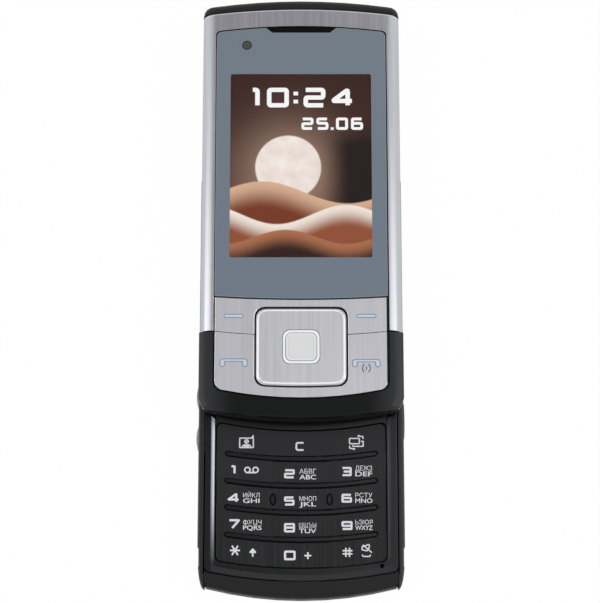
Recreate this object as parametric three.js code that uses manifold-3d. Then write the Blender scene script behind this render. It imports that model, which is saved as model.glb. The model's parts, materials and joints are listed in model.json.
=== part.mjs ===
// Slider phone, open. Millimetres, +X to the right, +Y towards the earpiece, +Z out of the display.
// Each half is drawn about its own middle, and the groups at the end set the halves one travel apart.
import * as THREE from 'three';
import { mergeVertices } from 'three/addons/utils/BufferGeometryUtils.js';
import Module from 'manifold-3d';

const wasm = await Module();
wasm.setup();

// Overall sizes
const halfLength = 52;
const closedOverlap = 11;
const travel = halfLength - closedOverlap;
const baseHalfWidth = 24.1;
const sliderInset = 0.3;
const sliderHalfWidth = baseHalfWidth - sliderInset;
const baseDepth = 7.9;
const halvesGap = 0.35;
const sliderDepth = 6.7;
const sliderBack = baseDepth + halvesGap;
const sliderFront = sliderBack + sliderDepth;
const endBow = 150;
const endCorner = 2.5;
const overrun = 1;

// Clearances
const seamGap = 0.015;
const hairGap = 0.06;
const closeGap = 0.1;
const fitGap = 0.15;
const looseGap = 0.3;
const keyTravel = 0.25;

// Counts of facets
const bowSteps = 8;
const cornerSteps = 4;
const endSteps = 3;
const railSteps = 6;
const roundSides = 12;
const smallSides = 8;

// Colours and finishes
const finish = (color, roughness, metalness = 0) =>
  new THREE.MeshStandardMaterial({ color, roughness, metalness });
const blackPlastic = finish(0x323436, 0.5);
const keyPlastic = finish(0x2d2d2f, 0.4);
const bezelPlastic = finish(0x323034, 0.3);
const brushedSteel = finish(0xb4b5bb, 0.35, 0.9);
const railSteel = finish(0xc8cad0, 0.2, 0.9);
const springSteel = finish(0x9a9ca0, 0.3, 1);
const lensGlass = finish(0x737e8a, 0.1);
const clearPlastic = finish(0xe4e6e8, 0.15);
const displayGlass = finish(0x381e19, 0.15);
const boardGreen = finish(0x1f5a3c, 0.5);
const flexAmber = finish(0xb87828, 0.4);
const rubberGrey = finish(0x6a6c70, 0.7);
const cellGrey = finish(0x55585c, 0.5);
const brassGold = finish(0xc8a860, 0.35, 0.8);

// Solids from three.js geometry
function solid(geometry) {
  geometry.deleteAttribute('normal');
  geometry.deleteAttribute('uv');
  const merged = mergeVertices(geometry);
  return new wasm.Manifold(new wasm.Mesh({
    numProp: 3,
    vertProperties: new Float32Array(merged.attributes.position.array),
    triVerts: new Uint32Array(merged.index.array),
  }));
}

function piece(name, form, material) {
  const { vertProperties, triVerts } = form.getMesh();
  const geometry = new THREE.BufferGeometry();
  geometry.setAttribute('position', new THREE.BufferAttribute(vertProperties, 3));
  geometry.setIndex(new THREE.BufferAttribute(triVerts, 1));
  geometry.computeVertexNormals();
  const mesh = new THREE.Mesh(geometry, material);
  mesh.name = name;
  return mesh;
}

const point = (x, y) => new THREE.Vector2(x, y);

function block([left, right], [near, far], [low, high]) {
  const box = new THREE.BoxGeometry(right - left, far - near, high - low);
  box.translate((left + right) / 2, (near + far) / 2, (low + high) / 2);
  return solid(box);
}

// A span of a width about its middle.
const span = (middle, width) => [middle - width / 2, middle + width / 2];

function disc(radius, x, y, [low, high], sides = roundSides) {
  const cylinder = new THREE.CylinderGeometry(radius, radius, high - low, sides);
  cylinder.rotateX(Math.PI / 2);
  cylinder.translate(x, y, (low + high) / 2);
  return solid(cylinder);
}

function prism(points, [low, high]) {
  const shape = new THREE.Shape(points);
  const geometry = new THREE.ExtrudeGeometry(shape, { depth: high - low, bevelEnabled: false });
  geometry.translate(0, 0, low);
  return solid(geometry);
}

// A section drawn in X and Z, run along Y.
function runAlongY(points, [near, far]) {
  const shape = new THREE.Shape(points);
  const geometry = new THREE.ExtrudeGeometry(shape, { depth: far - near, bevelEnabled: false });
  geometry.rotateX(Math.PI / 2);
  geometry.translate(0, far, 0);
  return solid(geometry);
}

// A section drawn in Y and Z, run along X.
function runAlongX(points, [left, right]) {
  const shape = new THREE.Shape(points);
  const geometry = new THREE.ExtrudeGeometry(shape, { depth: right - left, bevelEnabled: false });
  geometry.rotateX(Math.PI / 2);
  geometry.rotateZ(Math.PI / 2);
  geometry.translate(left, 0, 0);
  return solid(geometry);
}

// A closed skin through outlines of equal counts, one above the other.
function loft(levels) {
  const count = levels[0].points.length;
  const positions = [];
  const index = [];
  levels.forEach(({ points, z }) => points.forEach(({ x, y }) => positions.push(x, y, z)));
  for (let level = 0; level < levels.length - 1; level += 1) {
    for (let i = 0; i < count; i += 1) {
      const a = level * count + i;
      const b = level * count + (i + 1) % count;
      index.push(a, b, b + count, a, b + count, a + count);
    }
  }
  const top = (levels.length - 1) * count;
  THREE.ShapeUtils.triangulateShape(levels[0].points, [])
    .forEach(([a, b, c]) => index.push(a, c, b));
  THREE.ShapeUtils.triangulateShape(levels[levels.length - 1].points, [])
    .forEach(([a, b, c]) => index.push(a + top, b + top, c + top));
  const geometry = new THREE.BufferGeometry();
  geometry.setAttribute('position', new THREE.Float32BufferAttribute(positions, 3));
  geometry.setIndex(index);
  return solid(geometry);
}

const join = (first, ...rest) => rest.reduce((whole, next) => whole.add(next), first);
const cut = (first, ...rest) => rest.reduce((whole, next) => whole.subtract(next), first);
const bothSides = (make) => [make(-1), make(1)];

// How far an end bowed by a radius drops at x: a positive radius is highest in the middle.
function bow(x, radius) {
  if (!Number.isFinite(radius)) return 0;
  return Math.sign(radius) * (Math.sqrt(radius * radius - x * x) - Math.abs(radius));
}

function corner(x, y, radius, from) {
  if (radius === 0) return [point(x, y)];
  const points = [];
  for (let step = 0; step <= cornerSteps; step += 1) {
    const angle = from + (Math.PI / 2) * (step / cornerSteps);
    points.push(point(x + radius * Math.cos(angle), y + radius * Math.sin(angle)));
  }
  return points;
}

function bowPoints(from, to, middle, radius) {
  if (!Number.isFinite(radius)) return [];
  const points = [];
  for (let step = 1; step < bowSteps; step += 1) {
    const x = from + (to - from) * (step / bowSteps);
    points.push(point(x, middle + bow(x, radius)));
  }
  return points;
}

// A plate outline, counter-clockwise: straight sides, bowed ends and round corners, grown by an edge.
// A bottomCut gives the lower corners a width, a height and the shares of both at each of their points.
function plate(size, grow = 0) {
  const { half, top, bottom } = size;
  const { topBow = Infinity, bottomBow = Infinity, topCorner = 0, bottomCorner = 0, bottomCut } = size;
  const side = half + grow;
  const high = top + grow;
  const low = bottom - grow;
  const topX = side - topCorner;
  const bottomX = side - (bottomCut ? bottomCut.wide : bottomCorner);
  const topY = high + bow(topX, topBow) - topCorner;
  const edgeY = low - bow(bottomX, bottomBow);
  const cutPoints = (sign) => bottomCut.shares.map(([inwards, up]) => (
    point(sign * (side - bottomCut.wide * inwards), edgeY + bottomCut.high * up)));
  const bottomY = edgeY + bottomCorner;
  return [
    ...(bottomCut ? cutPoints(-1) : corner(-bottomX, bottomY, bottomCorner, Math.PI)),
    ...bowPoints(-bottomX, bottomX, low, -bottomBow),
    ...(bottomCut ? cutPoints(1).reverse() : corner(bottomX, bottomY, bottomCorner, -Math.PI / 2)),
    ...corner(topX, topY, topCorner, 0),
    ...bowPoints(topX, -topX, high, topBow),
    ...corner(-topX, topY, topCorner, Math.PI / 2),
  ];
}

// Levels of a quarter-round edge that goes in by a width while it climbs by a height.
function roundEdge(steps, width, height, level) {
  const levels = [];
  for (let step = 0; step <= steps; step += 1) {
    const angle = (Math.PI / 2) * (step / steps);
    levels.push(level(width * (1 - Math.cos(angle)), height * Math.sin(angle)));
  }
  return levels;
}

// The slide: a plate on the slider with two slots, held by two T-shaped runners on the base's plate
const slide = {
  slotIn: 3.2,
  slotWide: 1.3,
  plateThick: 0.5,
  plateEdge: 1.4,
  plateTopIn: 6,
  plateBottomIn: 8.5,
  basePlateEdge: 1.1,
  basePlateDrop: 0.7,
  basePlateNear: 4.4,
  basePlateFarIn: 7,
  runnerIn: 2.2,
  headWide: 2.2,
  headThick: 0.65,
  headGap: 0.2,
  windowHalf: 9,
  windowNear: 13,
  windowFar: 36,
};
const slotX = sliderHalfWidth - slide.slotIn;
const slidePlateTop = sliderBack + slide.plateThick;
const basePlateTop = baseDepth - slide.basePlateDrop;
const basePlateHalf = slotX + slide.basePlateEdge;
const basePlateFar = halfLength - slide.basePlateFarIn;
const runnerNear = slide.basePlateNear + slide.runnerIn;
const runnerFar = basePlateFar - slide.runnerIn;
const slotNear = runnerNear - travel - looseGap * 2;
const slotFar = runnerFar + looseGap * 2;
const headLow = slidePlateTop + slide.headGap;
const headHigh = headLow + slide.headThick;
const slidePlateShape = {
  half: slotX + slide.plateEdge,
  top: halfLength - slide.plateTopIn,
  bottom: -halfLength + slide.plateBottomIn,
};

// The flat cable's way between the halves
const flex = {
  half: 4.5,
  thick: 0.12,
  lowEnd: 24,
  fold: 5,
  highEnd: 45.5,
  windowHalf: 7,
  windowReach: 6,
};
const flexWindow = [flex.highEnd - travel - flex.windowReach, flex.highEnd - travel + flex.windowReach];

// Slider: rear case
const rearCase = {
  height: 2.75,
  wall: 1.4,
  cover: 0.45,
  backRound: 0.8,
  endIn: 0.2,
  stripLong: 2.85,
  stripBow: 176,
  stripBelowFront: 0.75,
  strip: 4,
};
const rearCaseTop = sliderBack + rearCase.height;
const rearCaseFloor = headHigh + slide.headGap + rearCase.cover;
const stripTop = sliderFront - rearCase.stripBelowFront;
const sliderEnd = {
  half: sliderHalfWidth,
  top: halfLength - rearCase.endIn,
  topBow: endBow,
  topCorner: endCorner,
  bottom: -halfLength,
  bottomBow: 112,
  bottomCut: { wide: 1.35, high: 2.6, shares: [[0, 1], [0.67, 0.16], [1, 0]] },
};
const stripLow = sliderEnd.top - rearCase.stripLong;

function sliderRearCase() {
  const skin = loft([
    { points: plate(sliderEnd, -rearCase.backRound), z: sliderBack },
    { points: plate(sliderEnd, -rearCase.backRound / 4), z: sliderBack + rearCase.backRound / 2 },
    { points: plate(sliderEnd), z: sliderBack + rearCase.backRound },
    ...roundEdge(rearCase.strip, rearCase.stripLong, stripTop - rearCaseTop, (inset, rise) => ({
      points: plate({ ...sliderEnd, half: sliderHalfWidth - inset / 2, top: sliderEnd.top - inset }),
      z: rearCaseTop + rise,
    })),
  ]);
  const behindStrip = prism(plate({
    half: sliderHalfWidth + overrun,
    top: stripLow,
    topBow: rearCase.stripBow,
    bottom: -halfLength - overrun,
  }), [rearCaseTop, sliderFront + overrun]);
  const well = prism(plate({
    ...sliderEnd,
    half: sliderHalfWidth - rearCase.wall,
    top: stripLow - rearCase.wall,
    topBow: rearCase.stripBow,
    topCorner: 0,
    bottom: -halfLength + rearCase.wall,
  }), [rearCaseFloor, rearCaseTop + overrun]);
  const plateSeat = prism(plate(slidePlateShape, fitGap), [sliderBack - overrun, slidePlateTop + hairGap]);
  const grooves = bothSides((side) => block(
    span(side * slotX, slide.headWide + looseGap * 2),
    [slotNear - looseGap, slotFar + looseGap],
    [sliderBack, headHigh + slide.headGap],
  ));
  const window = block(span(0, flex.windowHalf * 2), flexWindow, [sliderBack, rearCaseTop]);
  return cut(skin, behindStrip, well, plateSeat, ...grooves, window);
}

// Slider: steel front frame
const frame = {
  railWide: 3.2,
  belowFront: 0.35,
  topGap: 0.27,
  bottomIn: 20.8,
  wall: 1.3,
  ledge: 1.2,
  ledgeThick: 0.4,
  ledgeBelow: 1.15,
};
const frameLow = rearCaseTop + fitGap;
const frameTop = sliderFront - frame.belowFront;
const frameEnd = stripLow - frame.topGap;
const frameBottom = -halfLength + frame.bottomIn;
const ledgeHigh = sliderFront - frame.ledgeBelow;
const ledgeLow = ledgeHigh - frame.ledgeThick;
const opening = {
  half: sliderHalfWidth - frame.railWide,
  top: frameEnd - 4.43,
  topBow: 155,
  topCorner: 1.3,
  bottom: -halfLength,
};
const ledgeHalf = opening.half - frame.ledge;

function sliderFrontFrame() {
  const skin = loft(roundEdge(railSteps, frame.railWide, frameTop - frameLow, (inset, rise) => ({
    points: plate({
      half: sliderHalfWidth - inset,
      top: frameEnd,
      topBow: rearCase.stripBow,
      bottom: frameBottom,
    }),
    z: frameLow + rise,
  })));
  const lensRoom = prism(plate(opening), [ledgeHigh, sliderFront]);
  const through = prism(plate({ ...opening, half: ledgeHalf, top: opening.top - frame.ledge }),
    [frameLow - overrun, sliderFront]);
  const cavity = prism(plate({
    half: sliderHalfWidth - frame.wall,
    top: frameEnd - frame.wall,
    topBow: rearCase.stripBow,
    bottom: -halfLength,
  }), [frameLow - overrun, ledgeLow]);
  return cut(skin, lensRoom, through, cavity);
}

// Slider: key panel and black chin
const panel = {
  half: opening.half - 0.4,
  top: -halfLength + 28.1,
  topBow: -330,
  bottom: -halfLength + 4.88,
  bottomBow: 94,
  bottomCorner: 2.3,
};
const chin = {
  proud: 0.15,
  gap: 0.3,
  roundWide: 2.4,
  roundHigh: 1.1,
  endShare: 0.3,
  belowFront: 0.3,
  keyRim: 0.45,
};
const chinHalf = sliderHalfWidth + chin.proud;
const chinTop = frameBottom - chin.gap;
const chinFront = sliderFront - chin.belowFront;

function sliderChin() {
  const shape = { ...sliderEnd, half: chinHalf, top: chinTop, topBow: Infinity, topCorner: 0 };
  const skin = loft([
    { points: plate(shape), z: frameLow },
    ...roundEdge(endSteps + 1, chin.roundWide, chin.roundHigh, (inset, rise) => ({
      points: plate({ ...shape, half: chinHalf - inset, bottom: -halfLength + inset * chin.endShare }),
      z: chinFront - chin.roundHigh + rise,
    })),
  ]);
  const seat = { ...panel, top: 0, topBow: Infinity };
  const keyRoom = prism(plate(seat, chin.keyRim), [ledgeHigh, sliderFront]);
  const through = prism(plate(seat, ledgeHalf - panel.half), [frameLow - overrun, sliderFront]);
  const cavity = prism(plate({
    ...shape,
    half: chinHalf - frame.wall,
    top: 0,
    bottom: -halfLength + frame.wall,
  }), [frameLow - overrun, ledgeLow]);
  return cut(skin, keyRoom, through, cavity);
}

// Slider: display lens, earpiece, camera and display
const lens = {
  half: opening.half - 0.25,
  top: opening.top - 0.2,
  topBow: 155,
  topCorner: 1.2,
  bottom: panel.top + 0.38,
  bottomBow: 330,
};
const lensLow = ledgeHigh + closeGap;
const lensHigh = sliderFront - 0.3;
const notch = { half: 8.5, foot: 6.9, depth: 1.24, belowTop: 0.15, meshDrop: 0.3 };

// The notch's sides lean out as they rise, and run on past the lens.
function notchOutline(grow) {
  const lean = (notch.half - notch.foot) / notch.depth;
  const low = lens.top - notch.belowTop - notch.depth;
  const top = lens.top + overrun;
  const foot = notch.foot + grow;
  const head = foot + lean * (top - low);
  return [
    point(-foot, low - grow),
    point(foot, low - grow),
    point(head, top),
    point(-head, top),
  ];
}

function displayWindow() {
  const glass = prism(plate(lens), [lensLow, lensHigh]);
  return glass.subtract(prism(notchOutline(hairGap), [lensLow - overrun, lensHigh + overrun]));
}

function earpieceMesh() {
  const bar = prism(notchOutline(-hairGap), [lensLow, lensHigh - notch.meshDrop]);
  const underLens = prism(plate({ ...lens, topCorner: 0 }, -hairGap), [lensLow - overrun, lensHigh]);
  return bar.intersect(underLens);
}

const board = { thick: 0.6, in: 1.4, bottomIn: 6.5, past: 3.2, corner: 3 };
const boardLow = rearCaseFloor + 1.05;
const boardHigh = boardLow + board.thick;
const display = {
  in: 1.75,
  belowTop: 9.25,
  aboveBottom: 7.02,
  glassIn: 1.1,
  glassThick: 0.5,
};
const displayTop = lens.top - display.belowTop;
const displayBottom = lens.bottom + display.aboveBottom;
const displayHigh = lensLow - fitGap;
const displayHalf = lens.half - display.in;

function lcdModule() {
  const glass = displayHalf - display.glassIn;
  return join(
    block([-displayHalf, displayHalf], [displayBottom, displayTop],
      [boardHigh + fitGap, displayHigh - display.glassThick]),
    block([-glass, glass], [displayBottom + display.glassIn, displayTop - display.glassIn],
      [boardHigh + looseGap, displayHigh]),
  );
}

const camera = { x: -13.1, belowTop: 4.71, barrel: 2.2, lens: 1.25, lensLong: 0.5 };

function frontCamera() {
  const y = lens.top - camera.belowTop;
  return join(
    disc(camera.barrel, camera.x, y, [boardHigh + looseGap, ledgeLow]),
    disc(camera.lens, camera.x, y, [ledgeLow - camera.lensLong, lensLow - fitGap]),
  );
}

const receiver = { half: 6, long: 6.3, aboveOpening: 0.25, corner: 2.4 };

function earpieceSpeaker() {
  const top = opening.top + receiver.aboveOpening;
  return prism(plate({
    half: receiver.half,
    top,
    bottom: top - receiver.long,
    topCorner: receiver.corner,
    bottomCorner: receiver.corner,
  }), [boardLow + fitGap, ledgeLow - fitGap]);
}

// Slider: keys
const divide = { belowPanel: 8.59, bow: 192 };
const divideMiddle = panel.top - divide.belowPanel;
const dome = { radius: 1.6, high: 0.2, sheet: 0.15, topShare: 0.7 };
const sliderDomes = boardHigh + hairGap;
const stemLow = sliderDomes + dome.sheet + dome.high + keyTravel + hairGap;
const keyPlate = { thick: 0.6, belowFront: 0.2, stem: 1.1 };
const keyPlateHigh = sliderFront - keyPlate.belowFront;
const keyPlateLow = keyPlateHigh - keyPlate.thick;
const navOpening = {
  half: 10.97,
  top: panel.top - 1.63,
  topCorner: 2.4,
  bottom: panel.bottom + 2.32,
  bottomBow: 150,
  bottomCorner: 2.4,
};
const sideStemX = (panel.half + navOpening.half) / 2;
const softStemY = (panel.top + divideMiddle) / 2;
const callStemY = (divideMiddle + panel.bottom) / 2;

function keyPanel(part, stemY) {
  const whole = prism(plate(panel), [keyPlateLow, keyPlateHigh]);
  const sheet = whole.intersect(prism(plate(part), [keyPlateLow - overrun, sliderFront]));
  const nav = prism(plate(navOpening), [keyPlateLow - overrun, sliderFront]);
  const posts = bothSides((side) => disc(keyPlate.stem, side * sideStemX, stemY,
    [stemLow, keyPlateLow + fitGap], smallSides));
  return join(sheet.subtract(nav), ...posts);
}

const softKeyPlate = () => keyPanel({
  half: opening.half,
  top: 0,
  bottom: divideMiddle + hairGap,
  bottomBow: divide.bow,
}, softStemY);
const callKeyPlate = () => keyPanel({
  half: opening.half,
  top: divideMiddle - hairGap,
  topBow: -divide.bow,
  bottom: -halfLength,
}, callStemY);

const pad = { thick: 0.95, bevel: 0.4, stemX: 8.4, stemY: 7.3, edge: 0.42 };
const navPad = {
  ...navOpening,
  half: navOpening.half - pad.edge,
  top: navOpening.top - pad.edge,
  topCorner: navOpening.topCorner - fitGap,
  bottom: navOpening.bottom + pad.edge,
  bottomCorner: navOpening.bottomCorner - fitGap,
};
const navMiddle = (navPad.top + navPad.bottom) / 2;
const padLow = sliderFront - pad.thick;
const ok = { half: 3.6, reach: 3.28, corner: 1.3, proud: 0.05, dome: 0.2, long: 1.7 };
const okHigh = sliderFront + ok.proud;
const okLow = okHigh - ok.long;
const ring = { gap: 0.12, wall: 0.58, proud: 0.03 };
const web = { half: 6.6, thick: 0.45, belowPad: 0.4, hole: 0.5 };
const webHigh = padLow - web.belowPad;
const webLow = webHigh - web.thick;

const squareKey = (grow) => plate({
  half: ok.half,
  top: navMiddle + ok.reach,
  bottom: navMiddle - ok.reach,
  topCorner: ok.corner + grow / 2,
  bottomCorner: ok.corner + grow / 2,
}, grow);

function navPadPlate() {
  const sheet = loft([
    { points: plate(navPad), z: padLow },
    { points: plate(navPad), z: sliderFront - pad.bevel },
    { points: plate(navPad, -pad.bevel), z: sliderFront },
  ]);
  const stems = bothSides((side) => disc(keyPlate.stem, side * pad.stemX, navMiddle,
    [stemLow, padLow + fitGap], smallSides));
  const hole = prism(squareKey(ring.gap * 2 + ring.wall), [padLow - overrun, sliderFront + overrun]);
  return join(cut(sheet, hole), ...stems);
}

function navRing() {
  const wall = prism(squareKey(ring.gap + ring.wall), [padLow, sliderFront + ring.proud]);
  return wall.subtract(prism(squareKey(ring.gap), [padLow - overrun, sliderFront + overrun]));
}

function navKeyWeb() {
  const reach = pad.stemY + keyPlate.stem;
  const sheet = block([-web.half, web.half], [navMiddle - reach, navMiddle + reach], [webLow, webHigh]);
  const hole = prism(squareKey(web.hole), [webLow - overrun, webHigh + overrun]);
  const stems = bothSides((side) => disc(keyPlate.stem, 0, navMiddle + side * pad.stemY,
    [stemLow, webLow + fitGap], smallSides));
  return join(cut(sheet, hole), ...stems);
}

function okKey() {
  const key = loft([
    { points: squareKey(-hairGap), z: okLow },
    { points: squareKey(0), z: okHigh - ok.dome },
    { points: squareKey(-ok.dome), z: okHigh },
  ]);
  return join(key, disc(keyPlate.stem, 0, navMiddle, [stemLow, okLow + fitGap], smallSides));
}

const sliderBoard = () => prism(plate({
  half: sliderHalfWidth - frame.wall - board.in,
  top: displayTop + board.past,
  bottom: -halfLength + board.bottomIn,
  bottomCorner: board.corner,
}), [boardLow, boardHigh]);

function domeAt(x, y, low) {
  const cone = new THREE.CylinderGeometry(dome.radius * dome.topShare, dome.radius,
    dome.high + dome.sheet / 2, smallSides);
  cone.rotateX(Math.PI / 2);
  cone.translate(x, y, low + dome.high / 2 - dome.sheet / 4);
  return solid(cone);
}

function sliderDomeSheet() {
  const sheet = prism(plate({
    half: sideStemX + dome.radius * 2,
    top: displayBottom - dome.radius,
    bottom: -halfLength + board.bottomIn + dome.sheet,
    bottomCorner: board.corner,
  }), [sliderDomes, sliderDomes + dome.sheet]);
  const places = [
    point(0, navMiddle),
    ...bothSides((side) => point(side * sideStemX, softStemY)),
    ...bothSides((side) => point(side * sideStemX, callStemY)),
    ...bothSides((side) => point(side * pad.stemX, navMiddle)),
    ...bothSides((side) => point(0, navMiddle + side * pad.stemY)),
  ];
  return join(sheet, ...places.map(({ x, y }) => domeAt(x, y, sliderDomes + dome.sheet)));
}

// Slide plates, springs and flat cable
function slidePlate() {
  const sheet = prism(plate(slidePlateShape), [sliderBack, slidePlateTop]);
  const through = [sliderBack - overrun, slidePlateTop + overrun];
  const slots = bothSides((side) => block(span(side * slotX, slide.slotWide), [slotNear, slotFar], through));
  return cut(sheet, ...slots, block(span(0, flex.windowHalf * 2), flexWindow, through));
}

function slideBasePlate() {
  const low = basePlateTop - slide.plateThick;
  const sheet = block([-basePlateHalf, basePlateHalf], [slide.basePlateNear, basePlateFar],
    [low, basePlateTop]);
  const window = block([-slide.windowHalf, slide.windowHalf], [slide.windowNear, slide.windowFar],
    [low - overrun, basePlateTop + overrun]);
  const neck = slide.slotWide / 2 - fitGap;
  const head = slide.headWide / 2;
  const runners = bothSides((side) => {
    const x = side * slotX;
    return runAlongY([
      point(x - neck, basePlateTop - slide.plateThick / 2),
      point(x + neck, basePlateTop - slide.plateThick / 2),
      point(x + neck, headLow),
      point(x + head, headLow),
      point(x + head, headHigh),
      point(x - head, headHigh),
      point(x - head, headLow),
      point(x - neck, headLow),
    ], [runnerNear, runnerFar]);
  });
  return join(cut(sheet, window), ...runners);
}

const spring = {
  wire: 0.5,
  swingShare: 0.224,
  near: 8,
  far: 38,
  waves: 3,
  steps: 36,
  sides: 6,
};

function slideSpring(side) {
  const height = (basePlateTop + sliderBack) / 2;
  const middle = (slide.windowHalf + slotX) / 2;
  const swing = (slotX - slide.windowHalf) * spring.swingShare;
  const points = [];
  for (let step = 0; step <= spring.steps; step += 1) {
    const share = step / spring.steps;
    const wave = Math.sin(share * spring.waves * 2 * Math.PI) * Math.sin(share * Math.PI);
    const y = spring.near + (spring.far - spring.near) * share;
    points.push(new THREE.Vector3(side * (middle + swing * wave), y, height));
  }
  const section = [];
  for (let i = 0; i < spring.sides; i += 1) {
    const angle = (i / spring.sides) * 2 * Math.PI;
    section.push(point(spring.wire / 2 * Math.cos(angle), spring.wire / 2 * Math.sin(angle)));
  }
  return solid(new THREE.ExtrudeGeometry(new THREE.Shape(section), {
    steps: spring.steps,
    bevelEnabled: false,
    extrudePath: new THREE.CatmullRomCurve3(points),
  }));
}

// Base: heights from the front down
const frontCase = { depth: 2.3, belowFront: 0.06, pocketBelow: 1.35, pocketNear: 3.6 };
const frontCaseLow = baseDepth - frontCase.depth;
const frontCaseHigh = baseDepth - frontCase.belowFront;
const keySheet = { belowFront: 0.7, thick: 0.7, stem: 1.2 };
const keyHigh = baseDepth - keySheet.belowFront;
const keyLow = keyHigh - keySheet.thick;
const crossBar = { thick: 0.35, reach: 0.5 };
const crossHigh = keyLow - keyTravel - hairGap;
const crossLow = crossHigh - crossBar.thick;
const mainBoard = { thick: 0.6, belowCase: 0.45, in: 2.7, topIn: 3.5, bottomIn: 6.1, corner: 2 };
const mainBoardHigh = frontCaseLow - mainBoard.belowCase;
const mainBoardLow = mainBoardHigh - mainBoard.thick;
const mat = { thick: 0.2 };
const matLow = mainBoardHigh + hairGap;
const matHigh = matLow + mat.thick;
const keyStemLow = matHigh + dome.high + keyTravel + hairGap;

// The flat cable rises from the base's board, folds back between the plates and rises to the slider's.
function sliderFlex() {
  const t = flex.thick;
  const foot = mainBoardHigh + looseGap;
  const head = boardLow - closeGap;
  const lowRun = basePlateTop + fitGap;
  const highRun = sliderBack - fitGap - t;
  return runAlongX([
    point(flex.lowEnd, foot),
    point(flex.lowEnd + t, foot),
    point(flex.lowEnd + t, lowRun + t),
    point(flex.fold + t, lowRun + t),
    point(flex.fold + t, highRun),
    point(flex.highEnd, highRun),
    point(flex.highEnd, head),
    point(flex.highEnd - t, head),
    point(flex.highEnd - t, highRun + t),
    point(flex.fold, highRun + t),
    point(flex.fold, lowRun),
    point(flex.lowEnd, lowRun),
  ], [-flex.half, flex.half]);
}

// Base: rear housing
const housing = {
  floor: 1.7,
  wall: 1.35,
  backRound: 2.4,
  railRound: 0.8,
  railWide: 1.55,
  railEndIn: 2.5,
  bodyEndIn: 4.25,
  endWall: 1.5,
};
const sideInner = baseHalfWidth - housing.wall;
const railInner = baseHalfWidth - housing.railWide;
const bodyEnd = -halfLength + housing.bodyEndIn;
const baseEnd = {
  half: baseHalfWidth,
  top: halfLength,
  topBow: endBow,
  topCorner: endCorner,
  bottom: -halfLength + housing.railEndIn,
  bottomCut: {
    wide: 1.45,
    high: 9.6,
    shares: [[0, 1], [0.166, 0.948], [0.186, 0.557], [0.117, 0.49], [0.186, 0.406], [0.241, 0.323],
      [0.359, 0.208], [0.545, 0.099], [0.759, 0.021], [1, 0]],
  },
};
const bay = { in: 3.7, top: 20.3, bottomIn: 7.4, coverEdge: 1.1, coverThick: 1, coverCorner: 1.6 };
const bayShape = { half: baseHalfWidth - bay.in, top: bay.top, bottom: -halfLength + bay.bottomIn };
const coverShape = { ...bayShape, topCorner: bay.coverCorner, bottomCorner: bay.coverCorner };
const rearLens = { x: 0, y: halfLength - 11, radius: 3.9, low: 0.15, high: 0.85 };
const speaker = { x: -12, y: halfLength - 14, half: 6.5, reach: 5, corner: 1.5, slots: 3, slotPitch: 2.2 };
const screw = { in: 4.8, topIn: 5.6, aboveBay: 4.3, head: 1.3, shaft: 0.6, headHigh: 0.7, low: 0.15 };
const screwX = baseHalfWidth - screw.in;
const screwYs = [bay.top + screw.aboveBay, halfLength - screw.topIn];
const boss = { radius: 1.7, aboveFloor: 0.5 };
const sideKeys = { aboveFloor: 1.7, belowCase: 0.1, flange: 0.8, seat: 0.5 };
const sideKeyHigh = frontCaseLow - sideKeys.belowCase;
const sideKeyLow = housing.floor + sideKeys.aboveFloor;
const rocker = { middle: -9.38, reach: 8.2, lobes: 2, lobe: 6.4, proud: 0.62, fullness: 0.8 };
const shutter = { middle: -10.25, reach: 5.05, lobes: 1, lobe: 10.1, proud: 0.3, fullness: 0.35 };
const connector = { in: 1.6, long: 4.3, edge: 0.4, wallShare: 0.23, aboveFloor: 0.95 };
const connectorHigh = mainBoardLow - fitGap;
const connectorLow = housing.floor + connector.aboveFloor;
const port = { nearIn: 12.7, wide: 10.6, below: 0.65, thick: 0.8, swing: 0.3, mouthIn: 1.3, mouthUp: 0.5 };
const portNear = -halfLength + port.nearIn;
const portFar = portNear + port.wide;
const portLow = connectorLow - port.below;
const portHigh = frontCaseLow;
const connectorNear = portNear + port.mouthIn + connector.edge;
const connectorFar = portFar - port.mouthIn - connector.edge;

const screwPlaces = screwYs.flatMap((y) => bothSides((side) => point(side * screwX, y)));

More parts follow.
